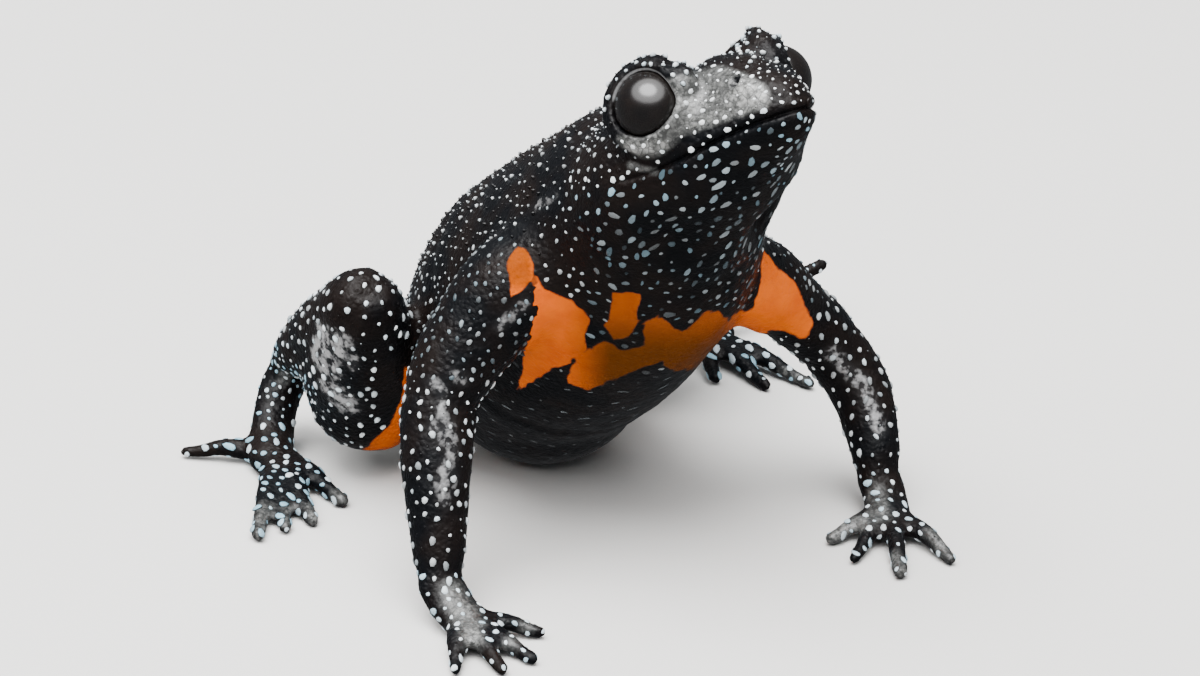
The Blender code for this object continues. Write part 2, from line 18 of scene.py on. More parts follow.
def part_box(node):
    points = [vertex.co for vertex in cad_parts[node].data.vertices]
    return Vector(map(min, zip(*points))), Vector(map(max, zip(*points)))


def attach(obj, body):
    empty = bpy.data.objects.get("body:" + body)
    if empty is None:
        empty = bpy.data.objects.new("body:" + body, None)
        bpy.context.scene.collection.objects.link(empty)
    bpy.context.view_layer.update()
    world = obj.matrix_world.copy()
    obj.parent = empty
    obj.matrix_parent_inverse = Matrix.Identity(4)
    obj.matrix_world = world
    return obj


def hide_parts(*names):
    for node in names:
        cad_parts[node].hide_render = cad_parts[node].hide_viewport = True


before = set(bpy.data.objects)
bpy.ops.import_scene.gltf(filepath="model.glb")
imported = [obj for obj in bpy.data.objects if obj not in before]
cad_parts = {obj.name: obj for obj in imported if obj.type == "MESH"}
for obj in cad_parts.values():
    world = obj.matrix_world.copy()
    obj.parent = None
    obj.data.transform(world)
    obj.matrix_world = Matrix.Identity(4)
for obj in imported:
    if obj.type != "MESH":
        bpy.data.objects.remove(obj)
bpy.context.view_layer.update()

bl_info = {
    "name": "Galaxy frog looks",
    "version": (1, 0, 0),
    "blender": (4, 5, 0),
    "location": "View3D > Sidebar > Frog",
    "description": "Builds the skin, tubercles, eyes and studio of a life-size galaxy frog",
    "category": "Object",
}

MM = 0.001
EYES = ("eye_right", "eye_left")
FLESH = [name for name in sorted(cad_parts) if name not in EYES]
BOXES = {name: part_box(name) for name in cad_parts}

# The frog's own frame, recovered from its eyes
HEAD_FORWARD = 2.7
HEAD_UP = 20.4
HEAD_PITCH = math.radians(30.0)


def node_middle(name):
    low, high = BOXES[name]
    return (low + high) * 0.5


EYE_RADIUS = (BOXES[EYES[0]][1].z - BOXES[EYES[0]][0].z) * 0.5 / MM
EYE_MIDDLE = (node_middle(EYES[0]) + node_middle(EYES[1])) * 0.5
HEAD_LEFT = (node_middle(EYES[1]) - node_middle(EYES[0])).normalized()
HEAD_LEVEL = HEAD_LEFT.cross(Vector((0.0, 0.0, 1.0))).normalized()
HEAD_AHEAD = HEAD_LEVEL * math.cos(HEAD_PITCH) + Vector((0.0, 0.0, math.sin(HEAD_PITCH)))
HEAD_CROWN = HEAD_AHEAD.cross(HEAD_LEFT)
HEAD_AXES = np.array([HEAD_LEFT, HEAD_AHEAD, HEAD_CROWN])
ORIGIN = EYE_MIDDLE - Vector((0.0, -HEAD_FORWARD, HEAD_UP)) * MM
EYE_AXIS = (0.80, 0.52, 0.30)

# Middles of the right and the left eyeball, in the head's frame
EYE_SPOTS = {-1.0: (-2.88, -0.07, -0.04), 1.0: (2.86, -0.07, -0.30)}

# View in which the outlines of the patches are given
VIEW_AZIMUTH = math.radians(-30.0)
VIEW_ELEVATION = math.radians(24.0)
VIEW_DISTANCE = 200.0
VIEW_TARGET = (-1.7, 2.75, 8.6)
VIEW_BACK = Vector((math.sin(VIEW_AZIMUTH) * math.cos(VIEW_ELEVATION),
                    -math.cos(VIEW_AZIMUTH) * math.cos(VIEW_ELEVATION),
                    math.sin(VIEW_ELEVATION)))
VIEW_RIGHT = Vector((math.cos(VIEW_AZIMUTH), math.sin(VIEW_AZIMUTH), 0.0))
VIEW_UP = VIEW_BACK.cross(VIEW_RIGHT)

# Mouth as in the solids, and nostrils, in the head's frame
MOUTH_LEVEL = -1.86
MOUTH_DROP = 0.48
MOUTH_CORNER = math.radians(104.0)
MOUTH_CENTRE_FORWARD = -0.6
LIP_RISE = 0.04
MOUTH_CUT = 0.13
NOSTRIL = (1.08, 3.05, -0.18)
NOSTRIL_DEPTH = 0.20
NOSTRIL_RIM = 0.06
NOSTRIL_WIDTH = 0.34

# Nostril of the solids, which is filled again
SOLID_NOSTRIL = (1.05, 3.6)
SOLID_NOSTRIL_DEPTH = 0.09

# How far the finer mesh reaches round lids, lips and nostrils, and the finest round the nostrils
FINE_MARGIN = 0.55
FINEST_MARGIN = 0.45

# Crown and brows against those of the solids
CROWN_RISE = 0.48
BROW_CUT = 0.50

# Lids: how far they reach over the eyeballs, in degrees, and the thickness of their rims
LID_REACH = 11.0
UPPER_LID_REACH = {-1.0: 4.0, 1.0: 14.0}
LOWER_LID_REACH = 7.0
LID_SIZE = 0.24
UPPER_LID_SIZE = {-1.0: 0.0, 1.0: 0.10}

# Rings of the lids, and their distance and the skin's from the eyeball
RING_TURNS = 36
RING_CORNERS = 8
RING_GAP = 0.14
EYE_CLEARANCE = 0.02

# Gaps between nodes that are closed in full, those too wide to close, and the widest measured
CLOSED_GAP = 0.42
OPEN_GAP = 1.25
WIDEST_GAP = 2.0

# Edges of the flesh longer than this are halved
LONG_EDGE = 0.5

# Soft hollows, or swellings where negative: place in the head's frame, width and depth
DENTS = (
    ((2.5, -2.0, -5.2), 1.35, 1.05),
    ((-2.5, -2.0, -5.2), 1.3, 0.5),
    ((-2.03, 0.98, 1.47), 0.44, 0.32),
    ((-1.75, 1.8, 0.75), 0.45, -0.22),
)

# Orange patches as outlines across and up on the view plane, in millimetres, with the nodes
# that they lie on
PATCHES = (
    (("chest", "upper_arm_right"),
     ((-3.23, 3.46), (-2.81, 3.35), (-2.54, 2.85), (-2.52, 2.23), (-2.94, 1.88), (-3.50, 1.40),
      (-3.46, 2.00), (-3.59, 2.65), (-3.46, 3.12))),
    (("chest", "belly"),
     ((-2.42, 2.38), (-2.15, 1.92), (-1.54, 1.65), (-1.08, 1.46), (-0.69, 1.08), (-0.42, 0.62),
      (-0.52, 0.05), (-0.46, -0.42), (-0.88, -0.69), (-1.35, -1.07), (-1.92, -1.25),
      (-2.42, -1.54), (-3.12, -2.04), (-3.22, -1.90), (-3.04, -1.42), (-2.90, -0.79),
      (-2.90, -0.04), (-2.85, 0.62), (-2.75, 1.46), (-2.62, 2.12))),
    (("chest",),
     ((0.46, 1.77), (0.96, 1.71), (1.49, 1.69), (1.49, 1.00), (1.35, 0.42), (1.08, 0.05),
      (0.60, -0.04), (0.14, 0.42), (0.42, 0.70), (0.46, 1.27))),
    (("chest", "belly"),
     ((-0.54, -0.42), (-0.15, -0.27), (0.23, -0.15), (0.69, -0.42), (1.15, -0.50),
      (1.73, -0.31), (1.62, 0.15), (1.73, 0.62), (2.27, 0.94), (2.65, 0.65), (2.85, 0.38),
      (3.23, 0.23), (3.58, 0.52), (4.04, 0.94), (4.52, 1.00), (4.88, 0.81), (5.27, 0.42),
      (5.00, -0.08), (4.81, -0.69), (4.23, -1.07), (3.50, -1.25), (2.75, -1.25),
      (2.38, -0.92), (1.92, -1.02), (1.15, -1.35), (0.42, -1.67), (-0.42, -1.96),
      (-1.27, -1.81), (-1.35, -1.42), (-0.96, -0.92))),
    (("chest", "upper_arm_left"),
     ((6.30, 3.40), (6.94, 2.66), (7.41, 2.19), (7.88, 1.36), (8.19, 0.62), (8.06, 0.15),
      (7.77, 0.05), (7.13, 0.20), (6.38, 0.25), (5.83, 0.30), (5.27, 0.20), (4.88, 0.81),
      (5.27, 0.94), (5.83, 1.17), (6.10, 1.82), (6.20, 2.48))),
    (("belly", "thigh_right"),
     ((-7.51, -1.00), (-7.10, -1.73), (-6.9, -3.30), (-7.0, -4.6), (-7.51, -4.95),
      (-8.30, -4.95), (-9.16, -4.75), (-9.32, -4.47), (-8.69, -3.92), (-8.06, -3.30),
      (-7.67, -2.51), (-7.55, -1.88))),
)

# Orange that the camera doesn't see, in the far armpit, groin and thigh: middle and radii
HIDDEN_PATCHES = (
    ((3.4, -1.9, 8.0), (1.7, 2.2, 1.5)),
    ((5.2, -11.3, 3.6), (2.2, 2.4, 1.8)),
    ((7.2, -11.0, 4.0), (1.2, 1.6, 2.2)),
)

# Segments and rings of the domes and of the eyeballs
DOME_SIDES = {"tubercles": (8, 6), "grains": (6, 4)}
EYE_SEGMENTS = 72
EYE_RINGS = 48

# Unwrap of the skin in square tiles, and the share of it that one dome takes up
TILES = 4
TILE_MARGIN = 0.02
DOME_CHART = 0.0015

# Studio: middle of the lights' aim in the frog's frame, floor, backdrop and camera
LIGHTS_AIM = (0.0, -4.0, 10.0)
FLOOR_HALF = 2.0
BACKDROP_COLOUR = (0.80, 0.82, 0.86, 1.0)
BACKDROP_STRENGTH = 0.22
SENSOR_WIDTH = 36.0
CLIPPING = (0.01, 10.0)

# Colours as they are mixed in the shaders
DEEP_BLACK = (0.0022, 0.0026, 0.0036, 1.0)
BROWN_BLACK = (0.0065, 0.0040, 0.0034, 1.0)
EYE_BLACK = (0.0022, 0.0016, 0.0014, 1.0)
EYE_BROWN = (0.0065, 0.0038, 0.0027, 1.0)
# Painted reflection of the soft light on wet skin, in mid, dim and bright grey
PAINTED_REFLECTION_GREY = (0.165, 0.167, 0.162, 1.0)
DIM_REFLECTION_GREY = (0.034, 0.035, 0.034, 1.0)
BRIGHT_REFLECTION_GREY = (0.46, 0.46, 0.45, 1.0)
# Painted sheen and painted glints of wet black skin; the glint grey also colours the pale lid rims
SHEEN_GREY = (0.040, 0.041, 0.044, 1.0)
GLINT_AND_RIM_GREY = (0.28, 0.28, 0.285, 1.0)
# Painted shade on the orange patches
SHADED_ORANGE = (0.060, 0.018, 0.0010, 1.0)


def at(left, forward, up):
    """Point of the frog's own frame in metres of the scene."""
    return ORIGIN + Vector((left, -forward, up)) * MM


def head_axis(left, forward, up):
    """Direction of the head's frame in the scene."""
    return HEAD_LEFT * left + HEAD_AHEAD * forward + HEAD_CROWN * up


def in_head(left, forward, up):
    """Point of the head's frame in metres of the scene."""
    return EYE_MIDDLE + head_axis(left, forward, up) * MM


def rows_of(mesh, key="co"):
    """Places of a mesh's vertices, or their normals, as rows of x, y and z."""
    rows = np.empty(len(mesh.vertices) * 3)
    mesh.vertices.foreach_get(key, rows)
    return rows.reshape(-1, 3)


def to_head(rows):
    """Rows of scene points as head coordinates in millimetres."""
    return (rows - np.array(EYE_MIDDLE)) @ HEAD_AXES.T / MM


def to_frog(rows):
    """Rows of scene points as left, forward and up in millimetres."""
    local = (rows - np.array(ORIGIN)) / MM
    return local * np.array([1.0, -1.0, 1.0])


def to_view(rows):
    """Rows of scene points as places across and up on the view plane, in millimetres."""
    local = (rows - np.array(ORIGIN)) / MM - np.array(VIEW_TARGET)
    depth = local @ np.array(VIEW_BACK)
    scale = VIEW_DISTANCE / (VIEW_DISTANCE - depth)
    return np.stack([local @ np.array(VIEW_RIGHT) * scale, local @ np.array(VIEW_UP) * scale], 1)


def bell(values, width):
    """Smooth hump of height one at zero."""
    return np.exp(-(values / width) ** 2)


def ramp(values, low, high):
    """Smooth step from nought at low to one at high."""
    part = np.clip((values - low) / (high - low), 0.0, 1.0)
    return part * part * (3.0 - 2.0 * part)


def outline_depth(places, outline):
    """How far each place lies inside a closed outline, negative outside it."""
    corners = np.array(outline)
    nearest = np.full(len(places), 1e9)
    inside = np.zeros(len(places), bool)
    for start, end in zip(corners, np.roll(corners, -1, axis=0)):
        span = end - start
        along = np.clip(((places - start) @ span) / (span @ span), 0.0, 1.0)
        away = places - start - along[:, None] * span
        nearest = np.minimum(nearest, np.linalg.norm(away, axis=1))
        crosses = (start[1] > places[:, 1]) != (end[1] > places[:, 1])
        height = np.where(crosses, (places[:, 1] - start[1]) / (end[1] - start[1] + 1e-12), 0.0)
        inside ^= crosses & (places[:, 0] < start[0] + height * span[0])
    return np.where(inside, nearest, -nearest)


def new_piece(name, builder):
    """Object at the origin from a bmesh, smooth shaded."""
    mesh = bpy.data.meshes.new(name)
    builder.normal_update()
    builder.to_mesh(mesh)
    builder.free()
    piece = bpy.data.objects.new(name, mesh)
    bpy.context.scene.collection.objects.link(piece)
    mesh.shade_smooth()
    return piece


def apply_modifiers(piece):
    graph = bpy.context.evaluated_depsgraph_get()
    graph.update()
    mesh = bpy.data.meshes.new_from_object(piece.evaluated_get(graph), depsgraph=graph)
    piece.modifiers.clear()
    piece.data = mesh


def put_attribute(mesh, name, values):
    layer = mesh.attributes.new(name, "FLOAT", "POINT")
    layer.data.foreach_set("value", np.asarray(values, np.float32))


def tree_of(places):
    """Tree that finds the nearest of many places."""
    tree = kdtree.KDTree(len(places))
    for index, place in enumerate(places):
        tree.insert(place, index)
    tree.balance()
    return tree


def node_labels(rows):
    """Index in FLESH of the node nearest to each row."""
    spots = [(vertex.co, index) for index, name in enumerate(FLESH)
             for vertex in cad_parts[name].data.vertices]
    tree = tree_of([place for place, _ in spots])
    return np.array([spots[tree.find(row)[1]][1] for row in rows])


# Skin

def lid_rings(builder):
    """Rings that close the flesh round each eyeball."""
    for sign in EYE_SPOTS:
        outward, forward, up = EYE_AXIS
        axis = head_axis(sign * outward, forward, up).normalized()
        centre = in_head(*EYE_SPOTS[sign])
        frame_of = axis.to_track_quat("Z", "Y").to_matrix()
        loops = []
        for index in range(RING_TURNS):
            angle = 2.0 * math.pi * index / RING_TURNS
            out = frame_of @ Vector((math.cos(angle), math.sin(angle), 0.0))
            above = max(out.dot(HEAD_CROWN), 0.0)
            below = max(-out.dot(HEAD_CROWN), 0.0)
            lid = math.radians(LID_REACH + UPPER_LID_REACH[sign] * above + LOWER_LID_REACH * below)
            size = (LID_SIZE + UPPER_LID_SIZE[sign] * above) * MM
            place = Matrix((out * size, axis * size, out.cross(axis))).transposed().to_4x4()
            place.translation = centre + (out * math.cos(lid) + axis * math.sin(lid)) * (
                EYE_RADIUS + RING_GAP) * MM
            made = bmesh.ops.create_circle(builder, segments=RING_CORNERS, radius=1.0, matrix=place)
            loops.append(made["verts"])
        made_faces = []
        for index, loop in enumerate(loops):
            after = loops[(index + 1) % RING_TURNS]
            for corner in range(RING_CORNERS):
                follow = (corner + 1) % RING_CORNERS
                made_faces.append(builder.faces.new(
                    (loop[corner], loop[follow], after[follow], after[corner])))
        bmesh.ops.recalc_face_normals(builder, faces=made_faces)


def dense_copy(name):
    """One node of flesh with its long edges halved, as a bmesh."""
    builder = bmesh.new()
    builder.from_mesh(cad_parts[name].data)
    bmesh.ops.remove_doubles(builder, verts=builder.verts, dist=MM * 0.001)
    for _ in range(2):
        long_edges = [edge for edge in builder.edges if edge.calc_length() > LONG_EDGE * MM]
        bmesh.ops.subdivide_edges(builder, edges=long_edges, cuts=1)
    bmesh.ops.triangulate(builder, faces=builder.faces)
    builder.normal_update()
    return builder


def surroundings(name):
    """Surface of all nodes but one, for measuring the gaps to them."""
    places = []
    faces = []
    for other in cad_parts:
        if other != name:
            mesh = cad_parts[other].data
            start = len(places)
            places += [vertex.co.copy() for vertex in mesh.vertices]
            faces += [[start + index for index in face.vertices] for face in mesh.polygons]
    return BVHTree.FromPolygons(places, faces)


def swollen_flesh(swell):
    """All flesh in one mesh, swollen beside the thin cuts until they close, and the swelling."""
    flesh = bmesh.new()
    places = []
    amounts = []
    for name in FLESH:
        builder = dense_copy(name)
        around = surroundings(name)
        for vertex in builder.verts:
            gap = around.find_nearest(vertex.co, WIDEST_GAP * MM)[3]
            amount = swell * (1.0 - ramp((gap or WIDEST_GAP * MM) / MM, CLOSED_GAP, OPEN_GAP))
            vertex.co += vertex.normal * amount
            places.append(vertex.co.copy())
            amounts.append(amount)
        part = bpy.data.meshes.new(name + "_swollen")
        builder.to_mesh(part)
        builder.free()
        flesh.from_mesh(part)
        bpy.data.meshes.remove(part)
    lid_rings(flesh)
    return new_piece("skin", flesh), tree_of(places), amounts


def eye_distance(head_rows):
    """Distance of each row from the middle of the nearer eyeball."""
    return np.minimum(*[np.linalg.norm(head_rows - np.array(spot), axis=1)
                        for spot in EYE_SPOTS.values()])


def mouth_height(head_rows):
    """Height above the line between the lips, and how far the mouth reaches there."""
    turn = np.arctan2(head_rows[:, 0], head_rows[:, 1] - MOUTH_CENTRE_FORWARD)
    level = MOUTH_LEVEL - MOUTH_DROP * np.sin(turn) ** 2
    reach = 1.0 - ramp(np.abs(turn), MOUTH_CORNER * 0.94, MOUTH_CORNER * 1.06)
    return head_rows[:, 2] - level, reach


def nostril_distance(head_rows):
    """Distance of each row from the middle of the nearer nostril."""
    mirrored = head_rows.copy()
    mirrored[:, 0] = np.abs(mirrored[:, 0])
    return np.linalg.norm(mirrored - np.array(NOSTRIL), axis=1)


def refine(piece, chosen):
    """Halve the edges between the chosen vertices."""
    builder = bmesh.new()
    builder.from_mesh(piece.data)
    builder.verts.ensure_lookup_table()
    edges = [edge for edge in builder.edges
             if chosen[edge.verts[0].index] and chosen[edge.verts[1].index]]
    bmesh.ops.subdivide_edges(builder, edges=edges, cuts=1, use_grid_fill=True, smooth=0.6)
    builder.to_mesh(piece.data)
    builder.free()


def front_of_head(head_rows):
    return (head_rows[:, 1] > -4.5) & (head_rows[:, 2] > -6.5)


def fine_zone(head_rows):
    """Rows near the lids, the lips and the nostrils."""
    height, reach = mouth_height(head_rows)
    on_head = (head_rows[:, 1] > -6.0) & (head_rows[:, 2] > -7.0)
    lips = (np.abs(height) < FINE_MARGIN) & (reach > 0.0)
    lids = eye_distance(head_rows) < EYE_RADIUS + FINE_MARGIN
    return on_head & (lips | lids | (nostril_distance(head_rows) < FINE_MARGIN))


def nostril_zone(head_rows):
    return nostril_distance(head_rows) < FINEST_MARGIN


def clear_eyeballs(rows):
    """Move the rows that lie inside an eyeball out to its surface."""
    head_rows = to_head(rows)
    near = eye_distance(head_rows)
    spread = EYE_RADIUS + EYE_CLEARANCE
    inside = near < spread
    on_left = (head_rows[inside, 0] > 0.0)[:, None]
    middle = np.where(on_left, np.array(EYE_SPOTS[1.0]), np.array(EYE_SPOTS[-1.0]))
    local = head_rows[inside] - middle
    local *= (spread / np.maximum(near[inside], 1e-6))[:, None]
    rows[inside] = (local + middle) @ HEAD_AXES * MM + np.array(EYE_MIDDLE)


def sculpt(piece):
    """Carve the line of the mouth, lips, nostrils, lids and soft folds."""
    mesh = piece.data
    rows = rows_of(mesh)
    normals = rows_of(mesh, "normal")
    head_rows = to_head(rows)
    frog_rows = to_frog(rows)
    push = np.zeros(len(rows))
    # Soft unevenness of loose skin
    for index, row in enumerate(frog_rows):
        push[index] = noise.noise(Vector(row) * 0.45) * 0.07 + noise.noise(Vector(row) * 1.3) * 0.03
    side, ahead, above = np.abs(head_rows[:, 0]), head_rows[:, 1], head_rows[:, 2]
    on_head = (ahead > -6.5) & (side < 6.0) & (above > -6.5)
    # Full crown between narrow brows
    crown = (CROWN_RISE * bell(side, 2.2) * bell(ahead - 1.0, 1.5)
             - BROW_CUT * bell(side - 1.6, 0.5) * bell(ahead + 0.4, 1.0))
    push += np.where(on_head, crown * ramp(above, -0.3, 0.4), 0.0)
    for place, width, depth in DENTS:
        push -= depth * bell(np.linalg.norm(head_rows - np.array(place), axis=1), width)
    height, reach = mouth_height(head_rows)
    lips = (LIP_RISE * bell(height - 0.22, 0.16) + LIP_RISE * bell(height + 0.20, 0.15)
            - MOUTH_CUT * bell(height, 0.07))
    push += np.where(on_head, lips * reach, 0.0)
    old_pit = np.hypot(side - SOLID_NOSTRIL[0], ahead - SOLID_NOSTRIL[1])
    push += np.where(on_head & (above > -1.2), SOLID_NOSTRIL_DEPTH * bell(old_pit, 0.17), 0.0)
    away = nostril_distance(head_rows)
    push += NOSTRIL_RIM * bell(away - 0.32, 0.10) - NOSTRIL_DEPTH * bell(away, 0.17)
    # Fold round the rim of the lids, with a groove behind it
    near = eye_distance(head_rows)
    push += np.where(on_head, 0.05 * bell(near - (EYE_RADIUS + 0.18), 0.10)
                     - 0.06 * bell(near - (EYE_RADIUS + 0.45), 0.12), 0.0)
    rows += normals * push[:, None] * MM
    clear_eyeballs(rows)
    # Nothing reaches through the floor
    rows[:, 2] = np.maximum(rows[:, 2], 0.0)
    mesh.vertices.foreach_set("co", rows.ravel())
    mesh.update()


def orange_depth(rows, normals, labels):
    """How deep in an orange patch each row lies, in millimetres."""
    places = to_view(rows)
    facing = normals @ np.array(VIEW_BACK)
    deepest = np.full(len(rows), -9.0)
    for nodes, outline in PATCHES:
        owned = np.isin(labels, [FLESH.index(name) for name in nodes])
        chosen = owned & (facing > 0.0)
        depth = outline_depth(places[chosen], outline)
        depth = np.minimum(depth, (facing[chosen] - 0.04) * 2.5)
        deepest[chosen] = np.maximum(deepest[chosen], depth)
    frog_rows = to_frog(rows)
    for centre, radii in HIDDEN_PATCHES:
        away = np.linalg.norm((frog_rows - np.array(centre)) / np.array(radii), axis=1)
        deepest = np.maximum(deepest, (1.0 - away) * min(radii))
    return deepest


def capsule_distance(rows, start, end):
    """Distance of each row from the line between two points."""
    start, end = np.array(start), np.array(end)
    span = end - start
    along = np.clip(((rows - start) @ span) / max(span @ span, 1e-9), 0.0, 1.0)
    return np.linalg.norm(rows - start - along[:, None] * span, axis=1)


def capsules(rows, items):
    """Strongest of several soft streaks, each from one point to another."""
    frog_rows = to_frog(rows)
    strongest = np.zeros(len(rows))
    for start, end, radius, strength in items:
        strongest = np.maximum(strongest,
                               strength * bell(capsule_distance(frog_rows, start, end), radius))
    return strongest


def bare_amount(rows):
    """Smooth wet skin of the cheeks, under the eyes and on the backs of the hands, where a grey
    reflection is painted.
    """
    head_rows = to_head(rows)
    left, ahead, above = head_rows.T
    top = np.where(left < 0.0, 0.15, -0.9) - ramp(ahead, 3.0, 4.0) * 0.45
    top += 0.30 * (1.0 - ramp(ahead, 1.9, 2.8))
    cheek = (ramp(ahead, 0.7, 1.3) * (1.0 - ramp(ahead, 4.1, 4.7))
             * (1.0 - ramp(above - top, 0.0, 0.4)) * ramp(above, -1.65, -1.25)
             * ramp(np.abs(left), 0.55, 0.95))
    under_eye = (bell(eye_distance(head_rows) - 1.66, 0.24)
                 * (1.0 - ramp(above, -1.0, -0.5)) * ramp(ahead, -1.2, -0.4))
    head_part = np.maximum(cheek, under_eye) * (ahead > -3.0)
    return np.clip(np.maximum(head_part, capsules(rows, BARE)), 0.0, 1.0)


def rim_amount(rows):
    """Pale rim of the upper lids."""
    head_rows = to_head(rows)
    _, ahead, above = head_rows.T
    rim = bell(eye_distance(head_rows) - (EYE_RADIUS + 0.07), 0.07)
    front = ramp(ahead, 0.5, 1.0) * ramp(above, -0.7, -0.2) * 0.8
    return rim * np.maximum(ramp(above, 0.35, 0.8), front) * (ahead > -2.5)


def shade_amount(rows, normals):
    """Painted shade on the orange: below, across the middle of the chest and on the top of the patch on
    the right arm.
    """
    across, up = to_view(rows).T
    band = ramp(across, -2.2, 0.5) * (1.0 - ramp(across, 4.7, 6.4))
    low = 0.68 + 0.29 * (1.0 - ramp(up, -0.6, 1.5))
    on_arm = (1.0 - ramp(across, -2.8, -2.4)) * ramp(up, 1.5, 2.4) * 0.62
    shade = np.maximum(band * low, on_arm)
    return np.maximum(ramp(-normals[:, 2], 0.05, 0.75) * 0.35, shade)


def rough_amount(normals, labels):
    """Grainy skin above, smoother skin below."""
    plain = np.isin(labels, [FLESH.index("belly"), FLESH.index("chest"), FLESH.index("head")])
    return np.where(plain, ramp(normals[:, 2], -0.3, 0.3), 0.8)


# Streaks of bare skin, which carry a painted grey reflection, as start, end, radius and strength, in
# the frog's own frame
BARE = (
    ((-10.25, 1.0, 1.4), (-10.4, 2.6, 1.0), 0.60, 0.9),
    ((-10.4, 2.6, 1.0), (-11.0, 3.8, 0.8), 0.45, 0.9),
    ((-10.0, 4.6, 0.5), (-8.2, 3.2, 0.6), 0.35, 0.7),
    ((6.9, 2.6, 0.8), (5.9, 2.3, 0.5), 0.6, 1.0),
    ((8.2, 1.5, 1.5), (7.7, 2.7, 1.0), 0.5, 0.8),
    ((-3.75, 3.0, 18.2), (-3.3, 4.0, 18.2), 0.16, 0.8),
    ((8.9, 4.6, 0.8), (8.8, 6.0, 0.5), 0.35, 0.9),
    ((6.8, 5.2, 0.6), (6.5, 6.2, 0.4), 0.35, 0.7),
    ((-8.5, -16.4, 3.4), (-8.5, -16.5, 3.0), 0.35, 0.6),
    ((-12.4, -10.6, 0.6), (-13.3, -9.2, 0.4), 0.4, 0.8),
    ((-11.4, -10.3, 0.6), (-12.1, -9.2, 0.4), 0.35, 0.6),
    ((-10.7, -9.9, 0.5), (-10.9, -9.2, 0.4), 0.35, 0.8),
    ((-9.2, -10.6, 0.5), (-9.1, -10.1, 0.4), 0.35, 0.8),
    ((12.2, -11.6, 0.5), (12.9, -10.4, 0.4), 0.35, 0.7),
)
# Painted wet gleams on black skin
PAINTED_GLEAMS = (
    ((-9.3, -2.1, 8.7), (-9.1, -1.9, 8.4), 0.28, 0.85),
    ((-9.25, -1.6, 7.9), (-9.2, -1.5, 7.5), 0.26, 0.8),
    ((-9.6, -1.4, 7.2), (-9.5, -1.2, 6.8), 0.28, 0.8),
    ((-9.2, -1.1, 7.1), (-9.2, -0.85, 6.3), 0.36, 0.8),
    ((-9.6, -0.65, 5.9), (-9.5, -0.45, 5.3), 0.34, 0.8),
    ((-9.95, -0.5, 5.3), (-9.9, -0.3, 4.7), 0.28, 0.75),
    ((-8.6, -1.8, 9.0), (-8.3, -1.6, 8.8), 0.25, 0.8),
    ((-6.9, -1.3, 10.8), (-6.0, -0.9, 11.7), 0.25, 0.65),
    ((-9.67, -10.84, 7.47), (-9.45, -9.4, 7.7), 0.48, 1.1),
    ((-9.75, -11.3, 6.8), (-9.5, -9.8, 6.9), 0.50, 1.1),
    ((-9.63, -11.38, 6.1), (-9.5, -10.3, 5.9), 0.46, 1.1),
    ((-9.2, -10.9, 5.0), (-8.9, -10.4, 4.2), 0.60, 1.15),
    ((-9.0, -9.3, 6.9), (-9.0, -9.4, 6.4), 0.22, 1.0),
    ((7.8, -1.1, 6.5), (9.0, -0.6, 5.1), 0.34, 1.0),
    ((9.0, -0.6, 5.1), (9.2, 0.4, 3.5), 0.32, 1.0),
    ((-4.2, -1.2, 15.6), (-4.7, -2.4, 14.8), 0.30, 0.6),
)
# Painted brighter reflections on bare skin
BRIGHT_REFLECTIONS = (
    ((-0.85, 6.1, 21.6), (-0.50, 6.8, 21.6), 0.42, 1.0),
    ((-2.3, 4.3, 20.9), (-2.1, 4.6, 20.6), 0.30, 0.4),
    ((-4.4, 1.9, 18.6), (-3.2, 3.4, 18.6), 0.30, 0.35),
    ((-3.9, 3.5, 19.1), (-3.1, 4.5, 19.3), 0.25, 0.5),
    ((-10.3, 1.6, 1.3), (-10.5, 3.4, 0.9), 0.40, 0.25),
    ((6.9, 2.6, 0.8), (6.2, 2.4, 0.6), 0.50, 0.25),
)

# Tubercles of each kind of skin: spacing, smallest and largest radius, height over radius,
# stretch, share that is white, blueness, and how pointed they are
TUBERCLES = {
    "crown": (0.34, 0.055, 0.12, 1.10, 1.0, 0.85, 0.20, 0.35),
    "brow": (0.31, 0.070, 0.15, 1.20, 1.0, 1.00, 0.30, 0.30),
    "snout": (0.25, 0.035, 0.080, 0.80, 1.1, 0.95, 0.10, 0.1),
    "cheek": (0.34, 0.045, 0.110, 0.60, 1.2, 1.00, 0.05, 0.0),
    "lip": (0.36, 0.060, 0.130, 0.50, 1.3, 0.97, 0.20, 0.0),
    "throat": (0.41, 0.055, 0.155, 0.25, 1.6, 1.00, 0.70, 0.0),
    "neck": (0.36, 0.045, 0.108, 0.55, 1.2, 0.97, 0.25, 0.0),
    "back": (0.42, 0.050, 0.115, 1.20, 1.0, 0.65, 0.15, 0.4),
    "shoulder": (0.35, 0.050, 0.110, 0.60, 1.3, 1.00, 0.50, 0.1),
    "arm": (0.45, 0.070, 0.145, 0.70, 1.3, 1.00, 0.25, 0.1),
    "hand": (0.38, 0.070, 0.145, 0.45, 1.3, 1.00, 0.50, 0.0),
    "leg": (0.47, 0.070, 0.155, 0.70, 1.2, 1.00, 0.30, 0.1),
    "shank": (0.25, 0.055, 0.110, 0.50, 1.25, 1.00, 0.75, 0.0),
    "foot": (0.36, 0.085, 0.180, 0.40, 1.4, 1.00, 0.95, 0.0),
    "belly": (0.80, 0.040, 0.080, 0.20, 2.4, 1.00, 0.30, 0.0),
}
